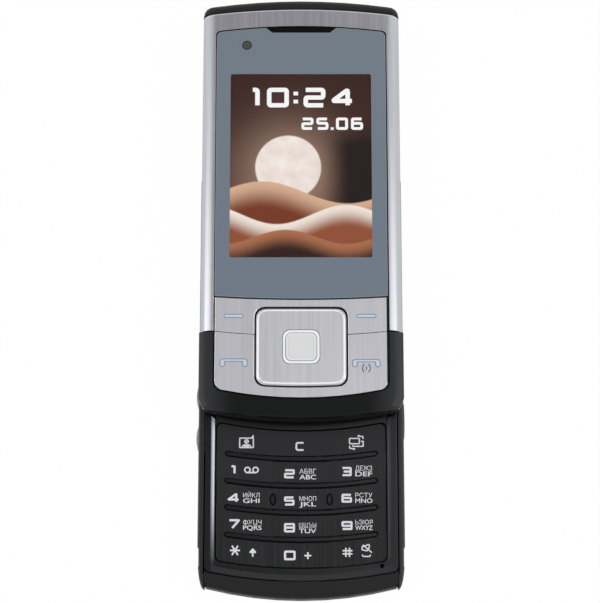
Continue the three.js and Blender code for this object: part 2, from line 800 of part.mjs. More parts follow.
function rearHousing() {
  const shape = (side, end) => plate({ ...baseEnd, half: baseHalfWidth - side, top: halfLength - end });
  const { backRound, railRound } = housing;
  const back = roundEdge(endSteps, backRound, backRound, (inset, rise) => ({
    points: shape(backRound - rise, backRound - rise),
    z: inset,
  }));
  const skin = loft([
    ...back,
    ...roundEdge(endSteps - 1, railRound, railRound, (inset, rise) => ({
      points: shape(inset, 0),
      z: baseDepth - railRound + rise,
    })),
  ]);
  const over = [-overrun, baseDepth + overrun];
  const capRoom = block([-railInner, railInner], [-halfLength, bodyEnd], over);
  const room = { half: sideInner, top: halfLength - housing.wall, topBow: endBow, topCorner: endCorner };
  const inside = prism(plate({ ...room, bottom: bodyEnd + housing.endWall }),
    [housing.floor, baseDepth + overrun]);
  const overEnd = prism(plate({ ...room, half: railInner, bottom: -halfLength - overrun }),
    [frontCaseLow - fitGap, baseDepth + overrun]);
  const floorCut = [-overrun, housing.floor + overrun];
  const bayHole = prism(plate(bayShape), floorCut);
  const coverSeat = prism(plate(coverShape, bay.coverEdge), [-overrun, bay.coverThick + fitGap]);
  const lensHole = disc(rearLens.radius + fitGap, rearLens.x, rearLens.y, floorCut, roundSides * 2);
  const speakerSlots = [...Array(speaker.slots).keys()].map((i) => {
    const y = speaker.y + (i - (speaker.slots - 1) / 2) * speaker.slotPitch;
    return block(span(speaker.x, speaker.half), span(y, speaker.slotPitch * 0.4), floorCut);
  });
  const screwHoles = screwPlaces.flatMap(({ x, y }) => [
    disc(screw.head + fitGap, x, y, [-overrun, screw.headHigh + fitGap], smallSides),
    disc(screw.shaft + looseGap, x, y, floorCut, smallSides),
  ]);
  const keySlot = (side, { middle, reach }) => block(
    side < 0 ? [-baseHalfWidth - overrun, -sideInner + fitGap] : [sideInner - fitGap, baseHalfWidth + overrun],
    [middle - reach - fitGap, middle + reach + fitGap],
    [sideKeyLow - fitGap, sideKeyHigh + fitGap],
  );
  const portSeat = block([-baseHalfWidth - overrun, -baseHalfWidth + port.thick + fitGap],
    [portNear - fitGap, portFar + fitGap], [portLow - port.swing, portHigh + fitGap]);
  const portMouth = block([-baseHalfWidth - overrun, -sideInner + overrun],
    [portNear + port.mouthIn, portFar - port.mouthIn],
    [portLow + port.mouthUp, portHigh - port.mouthUp]);
  return cut(skin, capRoom, inside, overEnd, bayHole, coverSeat, lensHole, ...speakerSlots,
    ...screwHoles, keySlot(-1, rocker), keySlot(1, shutter), portSeat, portMouth);
}

const batteryCover = () => prism(plate(coverShape, bay.coverEdge - fitGap), [0, bay.coverThick]);

// Base: front case with the keypad opening
const seam = {
  half: railInner - closeGap,
  bottom: -halfLength + 4.16,
  bottomBow: 110,
  bottomCorner: 1.5,
  gap: 0.25,
};
const keypad = {
  half: seam.half - 2.6,
  top: -halfLength + 39.14,
  topBow: -95,
  topCorner: 1.3,
  bottom: seam.bottom + 3.01,
  bottomBow: 113,
  bottomCorner: 1.5,
};
const keyRows = 5;
const slot = { firstBelow: 6.61, pitch: 6.3, bow: 115, endIn: 1.95, reach: 0.65, rib: 0.33, ribProud: 0.25 };
const slotHalf = keypad.half - slot.endIn;
const slotMiddle = (row) => keypad.top - slot.firstBelow - slot.pitch * row;
const columnSplit = keypad.half / 3;
const oval = { half: 0.43, reach: 1.1, gap: 0.25 };
const ovalY = (slotMiddle(1) + slotMiddle(2)) / 2;
const facet = { gap: 0.28, wide: 1.15, aboveKeys: 0.05, pastTop: 3.9 };
const channel = { wide: 1.2, deep: 1.5, inner: 2.75, outer: 3.65 };
const mic = { x: keypad.half - 1.16, y: keypad.bottom + 0.46, hole: 0.55, radius: 1.2, high: 1.2 };
const micLow = matLow;

// How far a slot or rib reaches from its middle line at x, with round ends.
function slotReach(x, half, reach) {
  const along = Math.min(Math.max((Math.abs(x) - (half - reach)) / reach, 0), 1);
  return reach * Math.sqrt(1 - along * along);
}

// Stations along a slot between two places, closer together at its round ends.
function stations(from, to, half, reach) {
  const list = [from, to];
  for (let step = 1; step < bowSteps; step += 1) list.push(-half + 2 * half * (step / bowSteps));
  for (let step = 0; step <= endSteps; step += 1) {
    const x = half - reach + reach * Math.sin((Math.PI / 2) * (step / endSteps));
    list.push(-x, x);
  }
  return [...new Set(list)].filter((x) => x >= from && x <= to).sort((a, b) => a - b);
}

// A curved bar along a slot's middle line.
function bar(middle, half, reach, heights) {
  const lower = [];
  const upper = [];
  stations(-half, half, half, reach).forEach((x) => {
    const y = middle - bow(x, slot.bow);
    const out = slotReach(x, half, reach);
    lower.push(point(x, y - out));
    if (out > hairGap) upper.unshift(point(x, y + out));
  });
  return prism([...lower, ...upper], heights);
}

function ovalBar(x, grow, heights) {
  const points = [];
  for (let i = 0; i < roundSides; i += 1) {
    const angle = (i / roundSides) * 2 * Math.PI;
    const across = (oval.half + grow) * Math.cos(angle);
    points.push(point(x + across, ovalY + (oval.reach + grow) * Math.sin(angle)));
  }
  return prism(points, heights);
}

function baseFrontCase() {
  const sheet = prism(plate({
    ...seam,
    top: halfLength - housing.wall - fitGap,
    topBow: endBow,
    topCorner: endCorner,
  }), [frontCaseLow, frontCaseHigh]);
  const over = [frontCaseLow - overrun, baseDepth + overrun];
  const keyHole = prism(plate(keypad, facet.gap), over);
  const facetLow = keyHigh + facet.aboveKeys;
  const facets = loft([
    { points: plate(keypad, facet.gap), z: facetLow },
    { points: plate(keypad, facet.gap + facet.wide), z: baseDepth },
  ]);
  const facetFoot = keypad.half + facet.gap;
  const facetEnds = bothSides((side) => runAlongY([
    point(side * keypad.half, facetLow),
    point(side * facetFoot, facetLow),
    point(side * (facetFoot + facet.wide), baseDepth),
    point(side * (facetFoot + facet.wide), baseDepth + overrun),
    point(side * keypad.half, baseDepth + overrun),
  ], [keypad.top - keypad.topCorner * 2, keypad.top + facet.pastTop]));
  const pocket = block([-basePlateHalf - fitGap, basePlateHalf + fitGap],
    [frontCase.pocketNear, basePlateFar + overrun], [baseDepth - frontCase.pocketBelow, baseDepth + overrun]);
  const flexHole = block(span(0, (flex.half + looseGap) * 2), span(flex.lowEnd, looseGap * 4), over);
  const channels = bothSides((side) => prism([
    point(side * (slotX - channel.wide / 2), keypad.top + channel.inner),
    point(side * (slotX + channel.wide / 2), keypad.top + channel.outer),
    point(side * (slotX + channel.wide / 2), frontCase.pocketNear + overrun),
    point(side * (slotX - channel.wide / 2), frontCase.pocketNear + overrun),
  ], [baseDepth - channel.deep, baseDepth + overrun]));
  const micHole = join(
    disc(mic.radius + fitGap, mic.x, mic.y, [frontCaseLow - overrun, micLow + mic.high + fitGap]),
    disc(mic.hole, mic.x, mic.y, over, smallSides),
  );
  const rows = [...Array(keyRows - 1).keys()];
  const crossBars = rows.map((row) => bar(slotMiddle(row), keypad.half + facet.gap + fitGap, crossBar.reach,
    [crossLow, crossHigh]));
  const ribTop = keyHigh + slot.ribProud;
  const ribHalf = slotHalf - slot.reach + slot.rib;
  const ribs = rows.map((row) => bar(slotMiddle(row), ribHalf, slot.rib, [crossLow, ribTop]));
  const uprights = bothSides((side) => block(span(side * columnSplit, oval.half * 2),
    [slotMiddle(2), slotMiddle(1)], [crossLow, crossHigh]));
  const ovals = bothSides((side) => ovalBar(side * columnSplit, 0, [crossLow, ribTop]));
  const bosses = screwPlaces.map(({ x, y }) => disc(boss.radius, x, y,
    [housing.floor + boss.aboveFloor, frontCaseLow + hairGap], smallSides));
  const bores = screwPlaces.map(({ x, y }) => disc(screw.shaft + fitGap, x, y,
    [0, frontCaseLow - looseGap], smallSides));
  const open = cut(sheet, keyHole, facets, ...facetEnds, pocket, flexHole, ...channels, micHole);
  return cut(join(open, ...crossBars, ...ribs, ...uprights, ...ovals, ...bosses), ...bores);
}

// Base: bottom cap
const cap = { bottomBow: 90, low: 0.6, round: 1.2, hollowIn: 4.4, wall: 1.2, corner: 0.55, reach: 4 };

function bottomCap() {
  const level = (inset, z) => ({
    points: plate({
      half: seam.half,
      top: seam.bottom + cap.reach,
      bottom: -halfLength + inset,
      bottomBow: cap.bottomBow,
      bottomCorner: cap.corner,
    }),
    z,
  });
  const skin = loft([
    ...roundEdge(endSteps - 1, cap.round, cap.round, (inset, rise) => level(cap.round - rise, cap.low + inset)),
    ...roundEdge(endSteps, cap.round, cap.round, (inset, rise) => level(inset,
      frontCaseHigh - cap.round + rise)),
  ]);
  const behindSeam = prism(plate({ ...seam, top: 0 }, seam.gap), [-overrun, baseDepth + overrun]);
  const overHousing = block([-baseHalfWidth, baseHalfWidth], [bodyEnd - fitGap, 0], [-overrun, frontCaseLow]);
  const hollow = prism(plate({
    half: seam.half - cap.hollowIn,
    top: 0,
    bottom: -halfLength + cap.wall,
    bottomBow: cap.bottomBow,
  }), [cap.low + cap.wall, frontCaseLow]);
  return cut(skin, behindSeam, overHousing, hollow);
}

// Base: keys
const keyEdge = (k) => {
  if (k === 0) return (x) => keypad.top + bow(x, keypad.topBow);
  if (k === keyRows) return (x) => keypad.bottom - bow(x, keypad.bottomBow);
  return (x) => slotMiddle(k - 1) - bow(x, slot.bow);
};

// Points of a key's end from one side to the other, clear of the slot beside it.
function keyEndPoints(k, from, to, way) {
  const edge = keyEdge(k);
  const outside = k === 0 || k === keyRows;
  return stations(from, to, slotHalf, slot.reach).map((x) => {
    const clear = outside ? -overrun : Math.max(slotReach(x, slotHalf, slot.reach), seamGap);
    return point(x, edge(x) + way * clear);
  });
}

const columns = [
  [-keypad.half - overrun, -columnSplit - seamGap],
  [-columnSplit + seamGap, columnSplit - seamGap],
  [columnSplit + seamGap, keypad.half + overrun],
];
const outerStem = (columnSplit + keypad.half) / 2;
const keyStemX = [-outerStem, 0, outerStem];
const keyMiddle = (row, x) => (keyEdge(row)(x) + keyEdge(row + 1)(x)) / 2;

function keypadKey(row, column) {
  const [from, to] = columns[column];
  const x = keyStemX[column];
  const whole = prism(plate(keypad), [keyLow, keyHigh]);
  const over = [keyLow - overrun, keyHigh + overrun];
  const lower = keyEndPoints(row + 1, from, to, 1);
  const upper = keyEndPoints(row, from, to, -1).reverse();
  const sheet = whole.intersect(prism([...lower, ...upper], over));
  const ovals = row === 2 ? bothSides((side) => ovalBar(side * columnSplit, oval.gap, over)) : [];
  return join(cut(sheet, ...ovals), disc(keySheet.stem, x, keyMiddle(row, x),
    [keyStemLow, keyLow + fitGap], smallSides));
}

// Base: boards and inner parts
const motor = { besideScrew: 5.8, clear: 0.3, nearIn: 20.5, long: 8, weight: 3, shaft: 0.4 };
const motorRadius = (frontCaseLow - housing.floor) / 2 - motor.clear;
const motorX = screwX - motor.besideScrew;
const motorZ = (frontCaseLow + housing.floor) / 2;
const motorNear = halfLength - motor.nearIn;
const motorFar = motorNear + motor.long;
const rearCamera = { half: 4.2, barrel: 3, high: 0.25 };

function mainPcb() {
  const over = [mainBoardLow - overrun, mainBoardHigh + overrun];
  const sheet = prism(plate({
    half: baseHalfWidth - mainBoard.in,
    top: halfLength - mainBoard.topIn,
    topCorner: mainBoard.corner,
    bottom: -halfLength + mainBoard.bottomIn,
  }), [mainBoardLow, mainBoardHigh]);
  const holes = screwPlaces.map(({ x, y }) => disc(boss.radius + looseGap, x, y, over, smallSides));
  const hole = (rearCamera.half + looseGap) * 2;
  const cameraHole = block(span(rearLens.x, hole), span(rearLens.y, hole), over);
  const motorHole = block(span(motorX, (motorRadius + looseGap) * 2),
    [motorNear - looseGap, motorFar + motor.weight + overrun], over);
  return cut(sheet, ...holes, cameraHole, motorHole);
}

function keyMat() {
  const micRoom = disc(mic.radius + looseGap, mic.x, mic.y, [matLow - overrun, matHigh + overrun]);
  const sheet = prism(plate(keypad, -looseGap), [matLow, matHigh]).subtract(micRoom);
  const domes = [...Array(keyRows).keys()].flatMap((row) => keyStemX.map((x) => domeAt(x,
    keyMiddle(row, x), matHigh)));
  return join(sheet, ...domes);
}

const cell = { in: 6.6, nearIn: 1.2, far: 8.3, corner: 1.2 };
const cellFloor = bay.coverThick + 0.2;
const cellTop = mainBoardLow - 0.25;

const batteryPack = () => prism(plate({
  half: baseHalfWidth - cell.in,
  top: cell.far,
  bottom: bayShape.bottom + cell.nearIn,
  topCorner: cell.corner,
  bottomCorner: cell.corner,
}), [cellFloor, cellTop]);

const sim = { half: 13, afterCell: 1.4, long: 9.1, thickShare: 0.556, roofShare: 0.467, wall: 1.2 };

function simHolder() {
  const near = cell.far + sim.afterCell;
  const high = mainBoardLow - fitGap;
  const thick = (high - housing.floor) * sim.thickShare;
  return cut(
    block([-sim.half, sim.half], [near, near + sim.long], [high - thick, high]),
    block([-sim.half + sim.wall, sim.half - sim.wall], [near + sim.wall, near + sim.long + overrun],
      [high - thick - overrun, high - thick * sim.roofShare]),
  );
}

function rearCameraModule() {
  const low = housing.floor + rearCamera.high;
  const { x, y } = rearLens;
  return join(
    block(span(x, rearCamera.half * 2), span(y, rearCamera.half * 2), [low, frontCaseLow - fitGap]),
    disc(rearCamera.barrel, x, y, [rearLens.high + fitGap, low + fitGap]),
  );
}

const rearCameraWindow = () => disc(rearLens.radius, rearLens.x, rearLens.y,
  [rearLens.low, rearLens.high], roundSides * 2);

const loudspeaker = () => prism(plate({
  half: speaker.half,
  top: speaker.reach,
  bottom: -speaker.reach,
  topCorner: speaker.corner,
  bottomCorner: speaker.corner,
}).map(({ x, y }) => point(x + speaker.x, y + speaker.y)), [housing.floor + fitGap, mainBoardLow - fitGap]);

function vibrationMotor() {
  const body = new THREE.CylinderGeometry(motorRadius, motorRadius, motor.long, roundSides);
  body.translate(motorX, (motorNear + motorFar) / 2, motorZ);
  return solid(body);
}

// A half disc that hangs under its shaft.
function vibrationWeight() {
  const near = motorFar + looseGap;
  const points = [];
  for (let step = 0; step <= roundSides / 2; step += 1) {
    const angle = -Math.PI * (step / (roundSides / 2));
    points.push(point(motorX + motorRadius * Math.cos(angle), motorZ + motorRadius * Math.sin(angle)));
  }
  points.push(
    point(motorX - motor.shaft, motorZ),
    point(motorX - motor.shaft, motorZ + motor.shaft),
    point(motorX + motor.shaft, motorZ + motor.shaft),
    point(motorX + motor.shaft, motorZ),
  );
  return runAlongY(points.reverse(), [near, near + motor.weight]);
}

const microphone = () => disc(mic.radius, mic.x, mic.y, [micLow, micLow + mic.high]);

function ioConnector() {
  const left = -baseHalfWidth + connector.in;
  const { long } = connector;
  const wall = (connectorHigh - connectorLow) * connector.wallShare;
  return cut(
    block([left, left + long], [connectorNear, connectorFar], [connectorLow, connectorHigh]),
    block([left - overrun, left + long - wall], [connectorNear + wall, connectorFar - wall],
      [connectorLow + wall, connectorHigh - wall]),
  );
}

const antenna = { share: 0.7, gap: 0.45, aboveFloor: 0.4 };

const antennaCarrier = () => prism(plate({
  half: (seam.half - cap.hollowIn) * antenna.share,
  top: bodyEnd - antenna.gap,
  bottom: -halfLength + cap.wall + looseGap,
  bottomBow: cap.bottomBow,
}), [housing.floor + antenna.aboveFloor, frontCaseLow - fitGap]);

const portCover = () => block([-baseHalfWidth, -baseHalfWidth + port.thick], [portNear, portFar],
  [portLow, portHigh]);

// A side key: a cap with low lobes from end to end, and a flange that keeps it behind the wall.
function sideKey(side, { middle, reach, lobes, lobe, proud, fullness }) {
  const inner = sideInner - looseGap;
  const points = [point(side * inner, middle - reach)];
  for (let i = 0; i < lobes; i += 1) {
    const near = middle - reach + i * (reach * 2 - lobe);
    for (let step = 0; step <= bowSteps; step += 1) {
      const share = step / bowSteps;
      const rise = Math.max(Math.sin(share * Math.PI), 0) ** fullness;
      points.push(point(side * (baseHalfWidth + proud * rise), near + lobe * share));
    }
  }
  points.push(point(side * inner, middle + reach));
  const body = prism(side > 0 ? points : points.reverse(), [sideKeyLow, sideKeyHigh]);
  const across = [side * inner, side * (inner - sideKeys.seat)].sort((a, b) => a - b);
  const along = [middle - reach - sideKeys.flange, middle + reach + sideKeys.flange];
  return join(body, block(across, along, [sideKeyLow - sideKeys.flange, sideKeyHigh]));
}

function caseScrew({ x, y }) {
  return join(
    disc(screw.head, x, y, [screw.low, screw.headHigh], smallSides),
    disc(screw.shaft, x, y, [screw.headHigh - fitGap, frontCaseLow - looseGap * 2], smallSides),
  );
}

// The assembly
const base = new THREE.Group();
base.position.y = -travel / 2;
base.add(
  piece('rear_housing', rearHousing(), blackPlastic),
  piece('battery_cover', batteryCover(), blackPlastic),
  piece('bottom_cap', bottomCap(), blackPlastic),
  piece('base_front_case', baseFrontCase(), bezelPlastic),
  piece('slide_base_plate', slideBasePlate(), springSteel),
  piece('main_pcb', mainPcb(), boardGreen),
  piece('key_mat', keyMat(), rubberGrey),
  piece('battery', batteryPack(), cellGrey),
  piece('sim_holder', simHolder(), springSteel),
  piece('rear_camera_module', rearCameraModule(), blackPlastic),
  piece('rear_camera_window', rearCameraWindow(), clearPlastic),
  piece('loudspeaker', loudspeaker(), cellGrey),
  piece('vibration_motor', vibrationMotor(), springSteel),
  piece('vibration_weight', vibrationWeight(), brassGold),
  piece('microphone', microphone(), brassGold),
  piece('io_connector', ioConnector(), springSteel),
  piece('port_cover', portCover(), blackPlastic),
  piece('antenna_carrier', antennaCarrier(), flexAmber),
  piece('volume_rocker', sideKey(-1, rocker), clearPlastic),
  piece('camera_key', sideKey(1, shutter), blackPlastic),
  piece('slide_spring_left', slideSpring(-1), springSteel),
  piece('slide_spring_right', slideSpring(1), springSteel),
  piece('slider_flex', sliderFlex(), flexAmber),
);
for (let row = 0; row < keyRows; row += 1) {
  keyStemX.forEach((x, column) => {
    base.add(piece(`key_${row}_${column}`, keypadKey(row, column), keyPlastic));
  });
}
screwPlaces.forEach((place, i) => base.add(piece(`case_screw_${i + 1}`, caseScrew(place), springSteel)));

const slider = new THREE.Group();
slider.position.y = travel / 2;
slider.add(
  piece('slider_rear_case', sliderRearCase(), blackPlastic),
  piece('slider_front_frame', sliderFrontFrame(), railSteel),
  piece('slider_chin', sliderChin(), blackPlastic),
  piece('display_window', displayWindow(), lensGlass),
  piece('earpiece_mesh', earpieceMesh(), blackPlastic),
  piece('front_camera', frontCamera(), cellGrey),
  piece('lcd_module', lcdModule(), displayGlass),
  piece('earpiece_speaker', earpieceSpeaker(), cellGrey),
  piece('soft_key_plate', softKeyPlate(), brushedSteel),
  piece('call_key_plate', callKeyPlate(), brushedSteel),
  piece('nav_pad', navPadPlate(), brushedSteel),
  piece('nav_ring', navRing(), clearPlastic),
  piece('nav_key_web', navKeyWeb(), rubberGrey),
  piece('ok_key', okKey(), clearPlastic),
  piece('slider_pcb', sliderBoard(), boardGreen),
  piece('slider_dome_sheet', sliderDomeSheet(), rubberGrey),
  piece('slide_plate', slidePlate(), springSteel),
);

const phone = new THREE.Group();
phone.add(base, slider);

export default phone;
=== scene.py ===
"""Slider phone, open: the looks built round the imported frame.

Lengths are in millimetres, and those of the stage in metres, in the frame's own axes: +X to the right,
+Y towards the earpiece and +Z out of the display. Each piece's place is in its mesh.
"""
import json
import math
from contextlib import contextmanager

import bmesh
import bpy
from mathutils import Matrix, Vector
from mathutils.kdtree import KDTree

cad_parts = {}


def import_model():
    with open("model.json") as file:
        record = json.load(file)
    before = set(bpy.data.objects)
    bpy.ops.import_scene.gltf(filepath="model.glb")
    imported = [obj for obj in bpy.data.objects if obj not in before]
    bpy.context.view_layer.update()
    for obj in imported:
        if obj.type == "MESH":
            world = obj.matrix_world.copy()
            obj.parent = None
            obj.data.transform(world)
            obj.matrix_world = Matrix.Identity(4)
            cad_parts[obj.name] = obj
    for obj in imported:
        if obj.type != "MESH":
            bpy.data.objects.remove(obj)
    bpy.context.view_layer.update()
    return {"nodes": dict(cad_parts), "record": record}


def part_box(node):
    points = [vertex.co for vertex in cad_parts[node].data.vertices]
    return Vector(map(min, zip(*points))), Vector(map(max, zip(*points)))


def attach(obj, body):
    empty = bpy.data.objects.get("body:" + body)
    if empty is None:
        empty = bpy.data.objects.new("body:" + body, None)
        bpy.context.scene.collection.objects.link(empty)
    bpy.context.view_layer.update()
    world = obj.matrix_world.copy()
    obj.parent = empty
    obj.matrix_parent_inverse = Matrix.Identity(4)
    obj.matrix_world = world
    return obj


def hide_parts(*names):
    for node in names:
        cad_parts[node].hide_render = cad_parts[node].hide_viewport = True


MM = 0.001

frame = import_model()
NODES = frame["nodes"]
BODY_OF = {node: body for body, nodes in frame["record"]["behaviour"]["bodies"].items()
           for node in nodes}


# Shader sums

class Value:
    """A socket that takes part in Python sums and adds the Math nodes for them."""

    def __init__(self, finish, socket):
        self.finish = finish
        self.socket = socket

    def __add__(self, other):
        return self.finish.maths("ADD", self, other)

    def __radd__(self, other):
        return self.finish.maths("ADD", other, self)

    def __sub__(self, other):
        return self.finish.maths("SUBTRACT", self, other)

    def __rsub__(self, other):
        return self.finish.maths("SUBTRACT", other, self)

    def __mul__(self, other):
        return self.finish.maths("MULTIPLY", self, other)

    def __rmul__(self, other):
        return self.finish.maths("MULTIPLY", other, self)

    def __truediv__(self, other):
        return self.finish.maths("DIVIDE", self, other)

    def __neg__(self):
        return self.finish.maths("MULTIPLY", self, -1)

    def __abs__(self):
        return self.finish.maths("ABSOLUTE", self)

    def __pow__(self, other):
        return self.finish.maths("POWER", self, other)


class Finish:
    """A material, or the world, and its nodes."""

    def __init__(self, name, owner=None):
        self.owner = owner or bpy.data.materials.new(name)
        self.owner.use_nodes = True
        self.tree = self.owner.node_tree
        self.tree.nodes.clear()
        self.spot = None
        self.axes = []

    def node(self, kind, settings=None, inputs=None, output=0):
        """Adds a node: its settings first, then the values or links of its sockets."""
        made = self.tree.nodes.new(kind)
        for key, value in (settings or {}).items():
            if key == "stops":
                stops = made.color_ramp.elements
                while len(stops) < len(value):
                    stops.new(0.5)
                for stop, (place, colour) in zip(stops, value):
                    stop.position = place
                    stop.color = colour
            else:
                setattr(made, key, value)
        for key, value in (inputs or {}).items():
            if isinstance(value, Value):
                self.tree.links.new(value.socket, made.inputs[key])
            else:
                made.inputs[key].default_value = value
        return Value(self, made.outputs[output])

    def maths(self, operation, *values, clamp=False):
        return self.node("ShaderNodeMath", {"operation": operation, "use_clamp": clamp},
                         dict(enumerate(values)))

    def either(self, first, second):
        """The greater of two numbers."""
        return self.maths("MAXIMUM", first, second)

    def place(self):
        """The object's own coordinates, as three numbers in millimetres."""
        if not self.axes:
            self.spot = self.node("ShaderNodeTexCoord", output="Object")
            split = self.node("ShaderNodeSeparateXYZ", inputs={0: self.spot})
            self.axes = [Value(self, out) / MM for out in split.socket.node.outputs]
        return self.axes

    def noise(self, scale, stretch=(1, 1, 1), detail=2.0, offset=0.0):
        """Noise from 0 to 1 with so many grains to the millimetre along each axis."""
        self.place()
        grains = tuple(scale * share / MM for share in stretch)
        mapped = self.node("ShaderNodeMapping", inputs={
            "Vector": self.spot, "Scale": grains, "Location": (offset, offset, offset)})
        return self.node("ShaderNodeTexNoise", inputs={"Vector": mapped, "Scale": 1.0, "Detail": detail})

    def step(self, value, low, high):
        """0 below low, 1 above high, and smooth between."""
        return self.node("ShaderNodeMapRange", {"interpolation_type": "SMOOTHSTEP"},
                         {"Value": value, "From Min": low, "From Max": high})

    def between(self, value, low, high, ease=0.05):
        """1 between two levels and 0 outside them."""
        return self.step(value, low - ease, low + ease) * self.step(value, high + ease, high - ease)

    def blend(self, factor, first, second):
        """Mixes two colours."""
        return self.node("ShaderNodeMix", {"data_type": "RGBA"}, {0: factor, 6: first, 7: second}, output=2)

    def bump(self, height, strength, distance):
        return self.node("ShaderNodeBump", inputs={
            "Height": height, "Strength": strength, "Distance": distance * MM})

    def surface(self, inputs):
        """Ends the material with a principled shader."""
        self.end(self.node("ShaderNodeBsdfPrincipled", inputs=inputs))
        return self.owner

    def end(self, shader):
        kind = "World" if isinstance(self.owner, bpy.types.World) else "Material"
        ending = self.tree.nodes.new("ShaderNodeOutput" + kind)
        self.tree.links.new(shader.socket, ending.inputs["Surface"])


def tint(red, green, blue):
    """A screen colour from 0 to 255, as the shader takes it."""
    def straight(level):
        share = level / 255
        return share / 12.92 if share <= 0.04045 else ((share + 0.055) / 1.055) ** 2.4
    return (straight(red), straight(green), straight(blue), 1.0)


def shade(colour, share):
    return tuple(level * share for level in colour[:3]) + (1.0,)


# Places on the frame that the finishes and the pieces share

CHIN_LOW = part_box("slider_chin")[0].y / MM
CHIN_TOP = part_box("slider_chin")[1].z / MM
FRAME_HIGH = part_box("slider_front_frame")[1].y / MM
FRAME_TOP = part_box("slider_front_frame")[1].z / MM
PANEL_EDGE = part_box("soft_key_plate")[1].x / MM
PANEL_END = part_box("soft_key_plate")[1].y / MM
PANEL_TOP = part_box("soft_key_plate")[1].z / MM
KEY_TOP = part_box("key_0_0")[1].z / MM
rear_low, rear_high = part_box("rear_camera_window")
REAR_CAMERA = [(rear_low[axis] + rear_high[axis]) / 2 / MM for axis in (0, 1)]
REAR_RADIUS = (rear_high.x - rear_low.x) / 2 / MM

# How far a bowed edge lies off its middle for each square millimetre across
CHIN_BOW = 0.0051
FRAME_BOW = 0.00286

# On the case round the keys: the ledge below them, the painted highlight down the left facet and the painted
# highlight lines on the right one
LEDGE_LOW = -68.25
LEDGE_WIDE = 1.25
FACET_NEAR = 20.3
FACET_FAR = 21.1
FACET_LINES = [(20.3, 21.0), (22.2, 22.4)]

# In the lens
DISPLAY = {"across": (-16.95, 16.82), "along": (6.93, 52.5), "corner": 0.5}
CAMERA = (-13.1, 59.84)


# Finishes

def moulded(name, colour, roughness, depth=0.004, mottle=0.06, gloss=0.2):
    """Moulded plastic with a fine spark grain and a faint mottle."""
    finish = Finish(name)
    fine = finish.noise(4.0)
    broad = finish.noise(0.12, detail=3.0, offset=7.0)
    return finish.surface({
        "Base Color": finish.blend(broad, shade(colour, 1 - mottle), shade(colour, 1 + mottle)),
        "Roughness": roughness + (fine - 0.5) * 0.1 + (broad - 0.5) * 0.06,
        "Specular IOR Level": gloss,
        "Normal": finish.bump(fine, 0.35, depth),
    })


def streaks(finish, across=2.6):
    """Lines along the phone: fine ones, the same over broad ones about 0, and those eased to 0 and 1."""
    hair = finish.noise(across, (1, 0.012, 0.012), detail=3.0)
    band = finish.noise(across * 0.33, (1, 0.02, 0.02), offset=3.0)
    streak = (hair - 0.5) * 1.5 + (band - 0.5) * 0.5
    return hair, streak, finish.step(streak, -0.4, 0.4)


def key_skin(name, colour, far_colour):
    """Satin black keys, faintly brushed along the phone and paler towards the top of the keypad, and painted
    black down in their slots as shade.
    """
    finish = Finish(name)
    _, y, z = finish.place()
    fine = finish.noise(4.0)
    hair, streak, lay = streaks(finish, 3.0)
    body = finish.blend(finish.step(y, -60.0, -34.0), colour, far_colour)
    top = finish.blend(lay, body, shade(far_colour, 1.1))
    return finish.surface({
        # Painted shade: black below the key tops, down in the slots.
        "Base Color": finish.blend(finish.step(z, KEY_TOP - 0.2, KEY_TOP - 0.08), tint(2, 2, 2), top),
        "Roughness": 0.42 + (fine - 0.5) * 0.08 + streak * 0.05,
        "Specular IOR Level": 0.2,
        "Normal": finish.bump(hair, 0.2, 0.002),
    })


def bowed(x, y):
    """How far a point lies above the chin's lower edge, which bows down in the middle."""
    return y - (CHIN_LOW + x * x * CHIN_BOW)


def chin_skin(name, colour, side_sheen_colour):
    """Gloss black, with a painted reflection that makes the sides paler, and dull black below the lower edge
    as painted shade.
    """
    finish = Finish(name)
    x, y, z = finish.place()
    fine = finish.noise(4.0)
    # Painted reflection: paler towards the sides.
    body = finish.blend(finish.step(abs(x), 15.0, 22.5), colour, side_sheen_colour)
    # Painted shade: dull near black on the low front face along the lower edge.
    low_front = finish.step(z, CHIN_TOP - 0.75, CHIN_TOP - 1.25) * finish.step(bowed(x, y), 2.5, 1.5)
    under = low_front * finish.step(abs(x), 22.5, 21.0)
    return finish.surface({
        "Base Color": finish.blend(under, body, tint(3, 3, 3)),
        "Roughness": 0.3 + (fine - 0.5) * 0.1 + under * 0.6,
        "Specular IOR Level": 0.22,
        "Normal": finish.bump(fine, 0.3, 0.002),
    })


